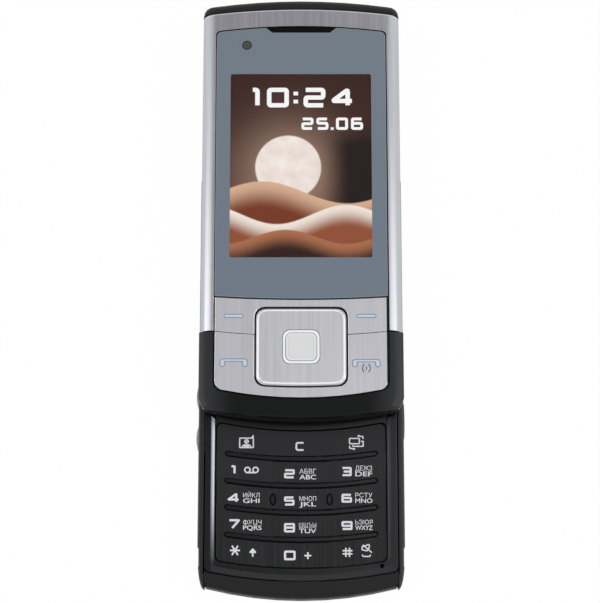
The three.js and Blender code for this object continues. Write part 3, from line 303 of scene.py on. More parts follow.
def key_surround(name, colour, right_sheen_colour):
    """The case round the keys: half gloss, painted black in its gaps as shade, with a painted highlight down
    the left facet.

    Grey lines are painted highlights on the right facet and on the ledge below the keys. The case is painted
    paler towards the right as a reflection, and near black under the chin's lower edge as its shadow.
    """
    finish = Finish(name)
    x, y, z = finish.place()
    fine = finish.noise(4.0)
    # Painted reflection: paler towards the right.
    body = finish.blend(finish.step(x, -20.0, 24.0), colour, right_sheen_colour)
    # Painted shadow: near black under the chin's lower edge.
    body = finish.blend(finish.step(bowed(x, y), -1.5, -0.4), body, tint(4, 4, 4))
    # Painted highlights: grey lines on the right facet.
    shine = finish.either(*(finish.between(x, *line) for line in FACET_LINES))
    body = finish.blend(shine * finish.step(y, -64.0, -40.0), body, tint(58, 58, 62))
    # Painted highlight: a grey line on the ledge below the keys.
    ledge = finish.between(y - x * x * CHIN_BOW, LEDGE_LOW, LEDGE_LOW + LEDGE_WIDE, 0.08)
    ledge = ledge * finish.step(abs(x), 21.3, 20.3)
    body = finish.blend(ledge, body, tint(46, 46, 50))
    # Painted shade: black below the key tops, in the gaps.
    base = finish.blend(finish.step(z, KEY_TOP - 0.15, KEY_TOP + 0.05), tint(2, 2, 2), body)
    # A painted highlight down the left facet: brightest at its inner side and towards the top, fading out at
    # its lower end.
    facet_highlight = finish.between(-x, FACET_NEAR, FACET_FAR) * finish.step(y, -67.0, -48.0)
    facet_highlight = facet_highlight * finish.step(z, KEY_TOP - 0.1, KEY_TOP)
    lit = finish.step(-x, FACET_FAR, FACET_NEAR) * 0.7 + finish.step(y, -58.0, -30.0) * 0.3
    facet_highlight_colour = finish.blend(lit, tint(122, 126, 136), tint(194, 199, 208))
    return finish.surface({
        "Base Color": finish.blend(facet_highlight, base, facet_highlight_colour),
        "Metallic": facet_highlight * 0.5,
        "Roughness": 0.3 + (fine - 0.5) * 0.08,
        "Specular IOR Level": 0.25,
        "Normal": finish.bump(fine, 0.3, 0.0015),
    })


def key_gap_shade(finish):
    """Where shade is painted: 1 down in the gaps round the steel keys and on the shadowed right edge, 0
    elsewhere.
    """
    x, _, z = finish.place()
    return finish.either(finish.step(z, PANEL_TOP - 0.12, PANEL_TOP - 0.2),
                         finish.step(x, PANEL_EDGE - 0.22, PANEL_EDGE - 0.16))


def brushed(name, colour):
    """Steel keys brushed along the phone: fine lines over broad ones, and painted black in the gaps as
    shade.
    """
    finish = Finish(name)
    hair, streak, lay = streaks(finish)
    gap_shade = key_gap_shade(finish)
    return finish.surface({
        "Base Color": finish.blend(gap_shade, finish.blend(lay, shade(colour, 0.95), shade(colour, 1.05)),
                                   tint(4, 4, 4)),
        "Metallic": 0.85 - gap_shade * 0.85,
        "Roughness": 0.36 + streak * 0.08,
        "Normal": finish.bump(hair, 0.2, 0.003),
    })


def rail_and_band(name):
    """The front frame: satin drawn rails at the sides, and a darker brushed band at the top.

    It is painted black in the gaps beside the steel keys, as shade. Along the band's top runs a painted
    highlight line, then a black line of painted shade.
    """
    finish = Finish(name)
    x, y, z = finish.place()
    hair, streak, lay = streaks(finish)
    rail = finish.step(abs(x), PANEL_EDGE + 0.2, PANEL_EDGE + 1.6)
    flat = finish.blend(lay, tint(165, 164, 170), tint(184, 183, 189))
    drawn = finish.blend(lay, tint(190, 193, 198), tint(200, 203, 207))
    # Painted shade: black on the frame's inner walls and in the gap beside the steel keys.
    wall_shade = finish.step(z, FRAME_TOP - 0.1, FRAME_TOP - 0.25)
    wall_shade = wall_shade * finish.step(abs(x), PANEL_EDGE + 0.55, PANEL_EDGE + 0.45)
    edge = finish.step(-x, PANEL_EDGE + 0.5, PANEL_EDGE + 0.42) * finish.step(y, PANEL_END + 0.2, PANEL_END)
    gap_shade = finish.either(wall_shade, edge * finish.step(-x, PANEL_EDGE - 0.1, PANEL_EDGE))
    # A painted highlight line along the band's top edge, and painted shade in the seam above it.
    from_top = y - (FRAME_HIGH - x * x * FRAME_BOW)
    body = finish.blend(finish.between(from_top, -0.44, -0.2, 0.03), finish.blend(rail, flat, drawn),
                        tint(228, 228, 232))
    gap_shade = finish.either(gap_shade, finish.step(from_top, -0.22, -0.16))
    return finish.surface({
        "Base Color": finish.blend(gap_shade, body, tint(6, 6, 6)),
        "Metallic": 0.9 - gap_shade * 0.9,
        "Roughness": 0.36 - rail * 0.06 + streak * 0.06,
        "Normal": finish.bump(hair, 0.15, 0.002),
    })


def frame_edge(name):
    """The frame's eased edges: polished steel down the rails, painted paler than the rails as a highlight,
    and black in the seams at the right and the top as painted shade.
    """
    finish = Finish(name)
    x, y, _ = finish.place()
    fine = finish.noise(1.5, detail=4.0)
    # Painted shade: black in the seams at the right and the top.
    seam = finish.either(finish.step(x, 18.0, 19.0), finish.step(y, 58.0, 60.0))
    seam = seam * finish.step(abs(x), 22.0, 21.8)
    # Polished steel, painted paler than the rails as a highlight.
    bright = finish.blend(fine, tint(232, 233, 236), tint(250, 250, 252))
    return finish.surface({
        "Base Color": finish.blend(seam, bright, tint(24, 25, 27)),
        "Metallic": 0.8 - seam * 0.8,
        "Roughness": 0.22 + (fine - 0.5) * 0.1,
    })


def plain_metal(name, colour, roughness, with_gap_shade=False):
    finish = Finish(name)
    fine = finish.noise(1.5, detail=4.0)
    base = finish.blend(fine, shade(colour, 0.92), shade(colour, 1.06))
    # Painted shade: black down in the gaps round the steel keys.
    if with_gap_shade:
        base = finish.blend(key_gap_shade(finish), base, tint(4, 4, 4))
    return finish.surface({
        "Base Color": base,
        "Metallic": 0.95,
        "Roughness": roughness + (fine - 0.5) * 0.15,
        "Normal": finish.bump(fine, 0.2, 0.003),
    })


def painted_lens(name):
    """Clear lens painted slate grey on its back, under a gloss face."""
    finish = Finish(name)
    _, y, _ = finish.place()
    fine = finish.noise(5.0)
    base = finish.blend(finish.step(y, -4.0, 70.0), tint(108, 120, 134), tint(112, 123, 135))
    return finish.surface({
        "Base Color": finish.blend((fine - 0.5) * 0.12 + 0.06, base, tint(140, 150, 160)),
        "Roughness": 0.42 + (fine - 0.5) * 0.05,
        "Specular IOR Level": 0.3,
        "Coat Weight": 0.5,
        "Coat Roughness": 0.04,
    })


def clear_pane(name, colour):
    """The lens's clear part over the display, with little bending so that the picture shows true."""
    finish = Finish(name)
    fine = finish.noise(3.0)
    return finish.surface({
        "Base Color": finish.blend(fine, shade(colour, 0.99), colour),
        "Roughness": (fine - 0.5) * 0.02,
        "Transmission Weight": 1.0,
        "IOR": 1.12,
    })


def glow(name, colour):
    """Lit signs on the display."""
    finish = Finish(name)
    fine = finish.noise(6.0)
    return finish.surface({
        "Base Color": (0.0, 0.0, 0.0, 1.0),
        "Emission Color": finish.blend(fine, shade(colour, 0.97), colour),
        "Emission Strength": 1.0,
        "Roughness": 0.3,
    })


# The display's picture. Its places and sizes are shares of the display.
HAZE = {"u": 0.42, "v": 0.46, "wide": 0.34, "high": 0.26}
MOON = {"u": 0.41, "v": 0.49, "wide": 0.235, "high": 0.176}
DUNES = [
    {"crest": 0.355, "swing": 0.060, "radians": 5.2, "start": 0.4, "fall": 0.15,
     "light": tint(216, 176, 146), "deep": tint(120, 56, 34)},
    {"crest": 0.235, "swing": 0.052, "radians": 6.4, "start": 2.6, "fall": 0.12,
     "light": tint(244, 232, 220), "deep": tint(146, 80, 52)},
    {"crest": 0.115, "swing": 0.038, "radians": 7.3, "start": 5.0, "fall": 0.11,
     "light": tint(172, 110, 78), "deep": tint(48, 26, 22)},
]


def wallpaper(name, left, right, near, far):
    """The lit display: a dark brown ground, a pale haze and moon, and dunes of orange and cream."""
    finish = Finish(name)
    x, y, _ = finish.place()
    across = (x - left) / (right - left)
    up = (y - near) / (far - near)

    def off_middle(u, v, wide, high):
        """0 in the middle of an oval and 1 on its outline."""
        return ((across - u) / wide) ** 2 + ((up - v) / high) ** 2

    mist = finish.noise(0.35, detail=4.0)
    ground = finish.blend(finish.step(up, 0.1, 0.75), tint(84, 42, 30), tint(56, 30, 25))
    haze = finish.maths("EXPONENT", -off_middle(**HAZE))
    hazy = finish.blend(haze * 0.9, ground, tint(170, 140, 122))
    dark_side = finish.step(across, 0.62, 0.86) * finish.step(0.74 - up, 0.0, 0.14)
    dusk = finish.blend(dark_side, hazy, tint(30, 20, 19))
    moon = finish.blend(mist, tint(226, 205, 192), tint(255, 250, 246))
    picture = finish.blend(finish.step(off_middle(**MOON) ** 0.5, 1.02, 0.96), dusk, moon)
    for dune in DUNES:
        wave = finish.maths("SINE", across * dune["radians"] + dune["start"])
        under = dune["crest"] + dune["swing"] * wave - up
        body = finish.blend(finish.step(under, 0.0, dune["fall"]), dune["light"], dune["deep"])
        picture = finish.blend(finish.step(under, -0.004, 0.006), picture, body)
    return finish.surface({
        "Base Color": (0.0, 0.0, 0.0, 1.0),
        "Emission Color": picture,
        "Emission Strength": 1.0,
        "Roughness": 0.35,
        "Specular IOR Level": 0.2,
    })


def camera_window(name, centre, size=1.0):
    """A dark ring round the grey glass of a camera."""
    finish = Finish(name)
    x, y, _ = finish.place()
    fine = finish.noise(6.0)
    away = ((x - centre[0]) ** 2 + (y - centre[1]) ** 2) ** 0.5 / size
    glass = finish.blend(finish.step(away, 0.1, 0.5), tint(66, 66, 67), tint(86, 85, 84))
    return finish.surface({
        "Base Color": finish.blend(finish.step(away, 0.8, 1.05), glass, tint(22, 23, 26)),
        "Roughness": 0.2 + (fine - 0.5) * 0.05,
        "Specular IOR Level": 0.3,
    })


FINISHES = {
    "black": moulded("black_plastic", tint(30, 30, 31), 0.48),
    "shell": moulded("shell_plastic", tint(36, 36, 38), 0.4, gloss=0.3),
    "chin": chin_skin("chin_plastic", tint(8, 10, 10), tint(45, 47, 48)),
    "bezel": key_surround("bezel_plastic", tint(22, 21, 25), tint(40, 39, 43)),
    "keys": key_skin("key_plastic", tint(27, 27, 28), tint(40, 40, 42)),
    "frame": rail_and_band("front_frame_steel"),
    "panel": brushed("key_panel_steel", tint(217, 217, 222)),
    "pad": brushed("nav_pad_steel", tint(222, 222, 223)),
    "frame_edge": frame_edge("frame_edge_steel"),
    "key_edge": plain_metal("key_edge_steel", tint(240, 241, 243), 0.2, with_gap_shade=True),
    # White: the nav ring's own colour, and a painted highlight along the four-way pad's polished outline.
    "rim": moulded("polished_rim", tint(252, 252, 253), 0.2, mottle=0.01, depth=0.001, gloss=0.6),
    "lens": painted_lens("lens_paint"),
    # A painted highlight along the lens's eased edge.
    "lens_edge_highlight": moulded("lens_edge_highlight", tint(150, 158, 166), 0.3, mottle=0.02),
    "milky": moulded("milky_plastic", tint(230, 232, 233), 0.2, mottle=0.015, depth=0.001, gloss=0.5),
    "side_key": moulded("side_key_plastic", tint(190, 191, 193), 0.3, mottle=0.03),
    "pane": clear_pane("display_pane", tint(250, 250, 250)),
    "ok": moulded("ok_key_plastic", tint(226, 226, 227), 0.25, mottle=0.015),
    "legend": moulded("legend_print", tint(222, 225, 230), 0.45, mottle=0.02),
    "mark": moulded("mark_print", tint(200, 211, 226), 0.4, mottle=0.02),
    "mark_edge": moulded("mark_edge_print", tint(130, 144, 164), 0.4, mottle=0.02),
    "etched": moulded("etched_mark", tint(104, 102, 102), 0.5, mottle=0.02),
    "faint": moulded("faint_mark", tint(164, 164, 167), 0.45, mottle=0.02),
    "lit": glow("lit_digits", tint(250, 250, 250)),
    "picture": wallpaper("display_picture", *DISPLAY["across"], *DISPLAY["along"]),
    "eye": camera_window("camera_window", CAMERA),
    "rear_eye": camera_window("rear_camera_glass", REAR_CAMERA, REAR_RADIUS * 0.7),
    "steel": plain_metal("spring_steel", tint(170, 172, 176), 0.3),
    "brass": plain_metal("brass", tint(200, 168, 96), 0.35),
    "board": moulded("board_green", tint(31, 90, 60), 0.5),
    "flex": moulded("flex_amber", tint(184, 120, 40), 0.4),
    "rubber": moulded("dome_rubber", tint(106, 108, 112), 0.7),
    "cell": moulded("cell_grey", tint(85, 88, 92), 0.5),
    "mesh": moulded("mesh_black", tint(6, 6, 7), 0.6, gloss=0.1),
}


# Making pieces

def deselect():
    for piece in bpy.context.selected_objects:
        piece.select_set(False)


def activate(piece):
    deselect()
    piece.select_set(True)
    bpy.context.view_layer.objects.active = piece


@contextmanager
def editing(piece):
    """Works on one piece in edit mode."""
    activate(piece)
    bpy.ops.object.mode_set(mode="EDIT")
    yield
    bpy.ops.object.mode_set(mode="OBJECT")


def settle():
    """Puts the selected piece's place and size in its mesh."""
    bpy.ops.object.transform_apply(location=True, rotation=True, scale=True)


def smooth(degrees):
    """Shades the selected piece smooth, but for edges sharper than an angle."""
    bpy.ops.object.shade_smooth_by_angle(angle=math.radians(degrees))


def flatten_shading(piece):
    """Lets the broad faces rule the shading, so that they look flat beside their eased edges."""
    activate(piece)
    weighted = piece.modifiers.new("flat", "WEIGHTED_NORMAL")
    weighted.keep_sharp = True
    weighted.weight = 80
    bpy.ops.object.modifier_apply(modifier="flat")


def fit_out(piece, *finishes):
    """Gives a piece its finishes, in the order given."""
    piece.data.materials.clear()
    for finish in finishes:
        piece.data.materials.append(FINISHES[finish])


def finished(piece, name, body, finish):
    piece.name = name
    fit_out(piece, finish)
    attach(piece, body)


def pick(piece, kind, wanted):
    """In edit mode, selects the edges or faces that answer a test, and nothing else."""
    bpy.ops.mesh.select_mode(type=kind)
    bpy.ops.mesh.select_all(action="DESELECT")
    mesh = bmesh.from_edit_mesh(piece.data)
    chosen = [part for part in (mesh.edges if kind == "EDGE" else mesh.faces) if wanted(part)]
    for part in chosen:
        part.select_set(True)
    mesh.select_flush_mode()
    bmesh.update_edit_mesh(piece.data)


def second_finish(piece):
    """In edit mode, gives the selected faces the piece's second finish."""
    piece.active_material_index = 1
    bpy.ops.object.material_slot_assign()


def stepped(insets):
    """In edit mode, insets the selected face again and again, and drops or lifts what is left of it."""
    for inset, lift in insets:
        bpy.ops.mesh.inset(thickness=inset * MM)
        if lift:
            bpy.ops.transform.translate(value=(0, 0, lift * MM))


def disc(centre, radius, level, deep):
    """An upright cylinder whose middle lies on a level."""
    deselect()
    bpy.ops.mesh.primitive_cylinder_add(vertices=40, radius=radius * MM, depth=deep * MM,
                                        location=(centre[0] * MM, centre[1] * MM, level * MM))
    return bpy.context.active_object


def rounded_slab(name, across, along, heights, corner=0.0, segments=5):
    """A slab between three spans, its upright edges rounded."""
    spans = (across, along, heights)
    deselect()
    bpy.ops.mesh.primitive_cube_add(size=1.0, location=[sum(span) / 2 * MM for span in spans],
                                    scale=[(span[1] - span[0]) * MM for span in spans])
    slab = bpy.context.active_object
    slab.name = name
    settle()
    if corner:
        with editing(slab):
            pick(slab, "EDGE", lambda edge: (edge.verts[0].co.xy - edge.verts[1].co.xy).length < 0.01 * MM)
            bpy.ops.mesh.bevel(offset=corner * MM, segments=segments)
    smooth(40)
    return slab


def cut_through(piece, cutter):
    """Takes the cutter's shape out of the piece, and the cutter away."""
    activate(piece)
    hole = piece.modifiers.new("hole", "BOOLEAN")
    hole.operation = "DIFFERENCE"
    hole.solver = "EXACT"
    hole.object = cutter
    bpy.ops.object.modifier_apply(modifier="hole")
    bpy.data.objects.remove(cutter)


def joined(pieces):
    if len(pieces) == 1:
        return pieces[0]
    deselect()
    for piece in pieces:
        piece.select_set(True)
    bpy.context.view_layer.objects.active = pieces[0]
    bpy.ops.object.join()
    return bpy.context.active_object


# Pen strokes and printed letters

INK = 0.03
CAP_HEIGHT = 0.7
LETTER_DEPTH = 0.02
ROUND_END = [(0.0, 0.02), (0.04, 0.28), (0.15, 0.53), (0.4, 0.8), (0.7, 0.95), (1.0, 1.0)]


def softened(points, radius, closed):
    """A line with each corner turned into a short curve."""
    spots = [Vector(point) for point in points]
    count = len(spots)
    line = []
    for i, here in enumerate(spots):
        if not closed and i in (0, count - 1):
            line.append(here)
            continue
        before, after = spots[i - 1] - here, spots[(i + 1) % count] - here
        start = here + before.normalized() * min(radius, before.length / 2)
        end = here + after.normalized() * min(radius, after.length / 2)
        for share in (0.0, 0.33, 0.67, 1.0):
            line.append(start * (1 - share) ** 2 + here * 2 * share * (1 - share) + end * share ** 2)
    return line


def round_ended(line, reach):
    """A line's points with the pen's width at each, its ends drawn round."""
    first, last = (line[1] - line[0]).normalized(), (line[-2] - line[-1]).normalized()
    head = [(line[0] + first * (share - 1) * reach, wide) for share, wide in ROUND_END]
    tail = [(line[-1] + last * (share - 1) * reach, wide) for share, wide in ROUND_END]
    return head + [(spot, 1.0) for spot in line[1:-1]] + tail[::-1]


def strokes(name, lines, width, level, corner, rounded=False):
    """Pen strokes of one width lying on a level: each line is a list of points and whether it closes."""
    pen = bpy.data.curves.new(name, "CURVE")
    pen.dimensions = "3D"
    pen.bevel_depth = width / 2 * MM
    pen.bevel_resolution = 2
    pen.use_fill_caps = True
    for points, closed in lines:
        line = softened(points, corner, closed)
        if rounded and not closed:
            line = round_ended(line, width / 2)
        else:
            line = [(spot, 1.0) for spot in line]
        spline = pen.splines.new("POLY")
        spline.points.add(len(line) - 1)
        for point, (spot, wide) in zip(spline.points, line):
            point.co = (spot.x * MM, spot.y * MM, 0.0, 1.0)
            point.radius = wide
        spline.use_cyclic_u = closed
    drawn = bpy.data.objects.new(name, pen)
    bpy.context.scene.collection.objects.link(drawn)
    activate(drawn)
    bpy.ops.object.convert(target="MESH")
    drawn = bpy.context.active_object
    drawn.scale = (1.0, 1.0, INK / width)
    drawn.location = (0.0, 0.0, level * MM)
    settle()
    smooth(50)
    return drawn


def lettering(name, words, left, right, bottom, cap, level, weight):
    """Printed letters between two sides, with capitals of one height."""
    deselect()
    bpy.ops.object.text_add(location=(0, 0, 0))
    text = bpy.context.active_object
    text.name = name
    text.data.body = words
    text.data.offset = weight
    text.data.extrude = LETTER_DEPTH / 2
    bpy.ops.object.convert(target="MESH")
    text = bpy.context.active_object
    corners = [vert.co for vert in text.data.vertices]
    low, high = min(spot.x for spot in corners), max(spot.x for spot in corners)
    wide = (right - left) * MM / (high - low)
    text.scale = (wide, cap * MM / CAP_HEIGHT, MM)
    text.location = (left * MM - low * wide, bottom * MM, level * MM)
    settle()
    return text


# Nodes dressed in a copy of their own mesh

SHARP = math.radians(40)
DOUBLE = 0.0005


def dressed(node, finish, edge, segments=2, rim=None, keep=None):
    """A copy of a node's mesh with its doubles merged and its sharp edges eased.

    The eased edges take the rim's finish, and those that keep picks stay sharp.
    """
    piece = bpy.data.objects.new(f"{node}_dressed", NODES[node].data.copy())
    bpy.context.scene.collection.objects.link(piece)
    fit_out(piece, finish, *([rim] if rim else []))
    edge_finish = 1 if rim else -1
    with editing(piece):
        bpy.ops.mesh.select_all(action="SELECT")
        bpy.ops.mesh.remove_doubles(threshold=DOUBLE * MM)
        bpy.ops.mesh.dissolve_limited(angle_limit=math.radians(0.5))
        if keep:
            pick(piece, "EDGE", lambda line: len(line.link_faces) == 2
                 and line.calc_face_angle() > SHARP and not keep(line))
            bpy.ops.mesh.bevel(offset=edge * MM, segments=segments, clamp_overlap=True,
                               material=edge_finish)
    if not keep:
        bevel = piece.modifiers.new("edge", "BEVEL")
        bevel.width = edge * MM
        bevel.segments = segments
        bevel.limit_method = "ANGLE"
        bevel.angle_limit = SHARP
        bevel.material = edge_finish
        bpy.ops.object.modifier_apply(modifier="edge")
    smooth(40)
    flatten_shading(piece)
    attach(piece, BODY_OF[node])
    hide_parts(node)
    return piece


for node, finish, edge, rim in [
    ("slider_front_frame", "frame", 0.12, "frame_edge"),
    ("slider_chin", "chin", 0.08, None),
    ("slider_rear_case", "black", 0.06, None),
    ("soft_key_plate", "panel", 0.1, "key_edge"),
    ("call_key_plate", "panel", 0.1, "key_edge"),
    ("nav_ring", "rim", 0.2, None),
    ("base_front_case", "bezel", 0.05, None),
    ("rear_housing", "shell", 0.08, None),
    ("bottom_cap", "black", 0.08, None),
    ("volume_rocker", "side_key", 0.1, None),
    ("camera_key", "black", 0.1, None),
    ("port_cover", "black", 0.1, None),
    ("battery_cover", "black", 0.1, None),
]:
    dressed(node, finish, edge, rim=rim)


# The four-way pad, with a white line along its polished outline as a painted highlight

PAD_LINE = 0.2
ring_low, ring_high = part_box("nav_ring")


def by_the_ring(edge):
    """Tells whether an edge of the pad lies round its ring."""
    return all(ring_low.x - MM < vert.co.x < ring_high.x + MM
               and ring_low.y - MM < vert.co.y < ring_high.y + MM for vert in edge.verts)


def painted_outline_highlight(pad):
    """Gives a narrow strip along the pad's outline, and its eased edge, a white finish: a painted highlight.
    """
    with editing(pad):
        pick(pad, "FACE", lambda face: face.normal.z > 0.98)
        bpy.ops.mesh.inset(thickness=PAD_LINE * MM)
        inner = {face.index for face in bmesh.from_edit_mesh(pad.data).faces if face.select}
        pick(pad, "FACE", lambda face: face.normal.z > 0.98 and face.index not in inner
             and not all(by_the_ring(edge) for edge in face.edges))
        second_finish(pad)
    smooth(30)
    flatten_shading(pad)


painted_outline_highlight(dressed("nav_pad", "pad", 0.1, 1, rim="rim", keep=by_the_ring))


# The keys: only the edges along their slots and round the keypad are eased, so that the seams stay fine

SEAM_REACH = 0.05
KEY_PLACES = [(row, column) for row in range(5) for column in range(3)]


def corner_tree(row, column):
    """The places of a key's corners, seen from above."""
    corners = NODES[f"key_{row}_{column}"].data.vertices
    tree = KDTree(len(corners))
    for index, corner in enumerate(corners):
        tree.insert((corner.co.x, corner.co.y, 0.0), index)
    tree.balance()
    return tree


CORNERS = {place: corner_tree(*place) for place in KEY_PLACES}


def seam_test(row, column):
    """Tells whether an edge of this key runs along a seam with one of the keys beside it."""
    beside = [CORNERS[place] for place in KEY_PLACES
              if place != (row, column) and abs(place[0] - row) <= 1 and abs(place[1] - column) <= 1]

    def on_seam(edge):
        return any(all(tree.find((vert.co.x, vert.co.y, 0.0))[2] < SEAM_REACH * MM
                       for vert in edge.verts) for tree in beside)
    return on_seam


for row, column in KEY_PLACES:
    # The eased edges take the near-black mesh finish, as painted shade in the slots and round the keypad.
    dressed(f"key_{row}_{column}", "keys", 0.11, 1, rim="mesh", keep=seam_test(row, column))


# The middle key: a flat face, a fine groove round it and a pale border out to its edge

OK_CORNER = 1.3
BORDER_FROM = 1.0


def middle_key():
    low, high = (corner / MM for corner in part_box("ok_key"))
    middle = (low + high) / 2 * MM
    key = rounded_slab("ok_key_cap", (low.x, high.x), (low.y, high.y), (low.z, high.z), OK_CORNER, 8)
    fit_out(key, "ok", "milky")

    def on_border(face):
        away = face.calc_center_median() - middle
        return max(abs(away.x), abs(away.y)) > BORDER_FROM * MM

    with editing(key):
        pick(key, "FACE", lambda face: face.normal.z > 0.9)
        stepped([(0.1, 0.0), (0.55, 0.0), (0.06, -0.1), (0.06, 0.1)])
        pick(key, "FACE", on_border)
        second_finish(key)
    smooth(35)
    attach(key, BODY_OF["ok_key"])
    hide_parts("ok_key")


middle_key()


# The display and what lies behind the lens

PANE_GAP = 0.02
PANE_LOW = 0.3
PANE_DROP = 0.01
PICTURE_LAP = 0.35
CAMERA_HOLE = 1.16
CAMERA_EYE = 1.12
EYE_DROP = 0.29

window = dressed("display_window", "lens", 0.12, rim="lens_edge_highlight")
window_low, window_high = (corner.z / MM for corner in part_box("display_window"))
cut_through(window, rounded_slab("display_hole", DISPLAY["across"], DISPLAY["along"],
                                 (window_low - 1, window_high + 1), DISPLAY["corner"]))
cut_through(window, disc(CAMERA, CAMERA_HOLE, window_high, 4))
activate(window)
smooth(40)
flatten_shading(window)


def display_slab(name, inset, heights, corner=0.0):
    """A slab under or in the display's window, so far in from its sides."""
    spans = [(low + inset, high - inset) for low, high in (DISPLAY["across"], DISPLAY["along"])]
    return rounded_slab(name, *spans, heights, corner)


finished(display_slab("display_pane", PANE_GAP, (window_low + PANE_LOW, window_high - PANE_DROP),
                      DISPLAY["corner"]), "display_pane", "slider", "pane")
lcd_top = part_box("lcd_module")[1].z / MM
finished(display_slab("display_picture", -PICTURE_LAP, (lcd_top + 0.005, lcd_top + 0.1)),
         "display_picture", "slider", "picture")


def camera_eye():
    """The front camera's dark window, turned in rings round a small lens."""
    eye = disc(CAMERA, CAMERA_EYE, window_high - EYE_DROP, 0.5)
    settle()
    with editing(eye):
        pick(eye, "FACE", lambda face: face.normal.z > 0.9)
        stepped([(0.32, 0.0), (0.06, -0.12), (0.3, 0.0), (0.05, 0.1), (0.15, 0.02)])
    smooth(35)
    finished(eye, "front_camera_eye", "slider", "eye")


camera_eye()


# Digits and signs drawn as pen strokes in a square of 1 by 1

def ring(u, v, across, along, steps=14):
    turn = 2 * math.pi / steps
    return [(u + across * math.cos(i * turn), v + along * math.sin(i * turn)) for i in range(steps)]


def path(*points):
    """A line for the pen, with two ends."""
    return list(points), False


def loop(*points):
    """A line for the pen that closes."""
    return list(points), True


SQUARE = [(0, 0), (1, 0), (1, 1), (0, 1)]
GLYPHS = {
    "0": [loop(*SQUARE)],
    "1": [path((0, 1), (0.75, 1), (0.75, 0))],
    "2": [path((0, 1), (1, 1), (1, 0.5), (0, 0.5), (0, 0), (1, 0))],
    "3": [path((0, 1), (1, 1), (1, 0), (0, 0)), path((0.15, 0.5), (1, 0.5))],
    "4": [path((0.78, 0), (0.78, 1), (0, 0.28), (1, 0.28))],
    "5": [path((1, 1), (0, 1), (0, 0.55), (1, 0.55), (1, 0), (0, 0))],
    "6": [path((1, 1), (0, 1), (0, 0), (1, 0), (1, 0.54), (0, 0.54))],
    "7": [path((0, 1), (1, 1), (0.3, 0))],
    "8": [loop(*SQUARE), path((0, 0.52), (1, 0.52))],
    "9": [path(*SQUARE, (0, 0.46), (1, 0.46))],
    "C": [path((1, 1), (0, 1), (0, 0), (1, 0))],
    ":": [path((0.5, 0.12), (0.5, 0.36)), path((0.5, 0.64), (0.5, 0.88))],
    ".": [path((0.5, -0.15), (0.5, 0.12))],
    "star": [path((0, 0.5), (1, 0.5)), path((0.2, 0.0), (0.8, 1.0)), path((0.2, 1.0), (0.8, 0.0))],
    "hash": [path((0.33, 0), (0.33, 1)), path((0.7, 0), (0.7, 1)),
             path((0, 0.33), (1, 0.33)), path((0, 0.68), (1, 0.68))],
    "bar": [path((0.5, 0), (0.5, 1))],
    "plus": [path((0.5, 0), (0.5, 1)), path((0, 0.5), (1, 0.5))],
    "up": [path((0.5, -0.08), (0.5, 0.7)), path((0.0, 0.48), (0.5, 1.0), (1.0, 0.48)),
           path((0.12, 0.53), (0.88, 0.53)), path((0.34, 0.7), (0.66, 0.7))],
    "tape": [loop(*ring(0.2, 0.5, 0.2, 0.5)), loop(*ring(0.8, 0.5, 0.2, 0.5)),
             path((0.2, 0.0), (0.8, 0.0))],
    "person": [
        loop((0, 0), (1, 0), (1, 0.86), (0, 0.86)),
        path((0.98, 0.8), (0.98, 1.12)),
        path((0.86, 0.9), (1.0, 1.04)),
        loop(*ring(0.5, 0.56, 0.14, 0.15, 10)),
        path((0.5, 0.5), (0.5, 0.62)),
        path((0.16, 0.08), (0.3, 0.24), (0.7, 0.24), (0.84, 0.08)),
        path((0.3, 0.12), (0.7, 0.12)),
        path((0.5, 0.2), (0.5, 0.4)),
    ],
    "turned": [
        loop((0.0, 0.4), (0.72, 0.4), (0.72, 0.77), (0.0, 0.77)),
        path((0.84, 0.57), (1.0, 0.57), (1.0, 0.22), (0.24, 0.22), (0.24, 0.3)),
        path((0.99, 0.74), (0.99, 0.9), (0.6, 0.93)),
        path((0.72, 1.0), (0.6, 0.93), (0.74, 0.92)),
        path((0.01, 0.26), (0.01, 0.08), (0.4, 0.05)),
        path((0.28, -0.02), (0.4, 0.05), (0.26, 0.06)),
    ],
    "bell": [
        loop((0.02, 0.56), (0.02, 0.84), (0.28, 0.86), (0.58, 1.0), (0.76, 0.98), (0.72, 0.72), (0.5, 0.46),
             (0.28, 0.52)),
        path((0.1, 0.98), (1.0, 0.32)),
        path((0.04, 0.16), (0.1, 0.0), (0.8, 0.0), (0.86, 0.16)),
    ],
}


def glyph(sign, x, y, wide, high, pen):
    """A sign's lines in a box about a middle, as wide and high as the pen makes them."""
    inner_wide, inner_high = wide - pen, high - pen
    left, bottom = x - inner_wide / 2, y - inner_high / 2
    return [([(left + u * inner_wide, bottom + v * inner_high) for u, v in points], closed)
            for points, closed in GLYPHS[sign]]


# The keys' printing: signs with their middle, size and pen, and letters in two rows with their sides

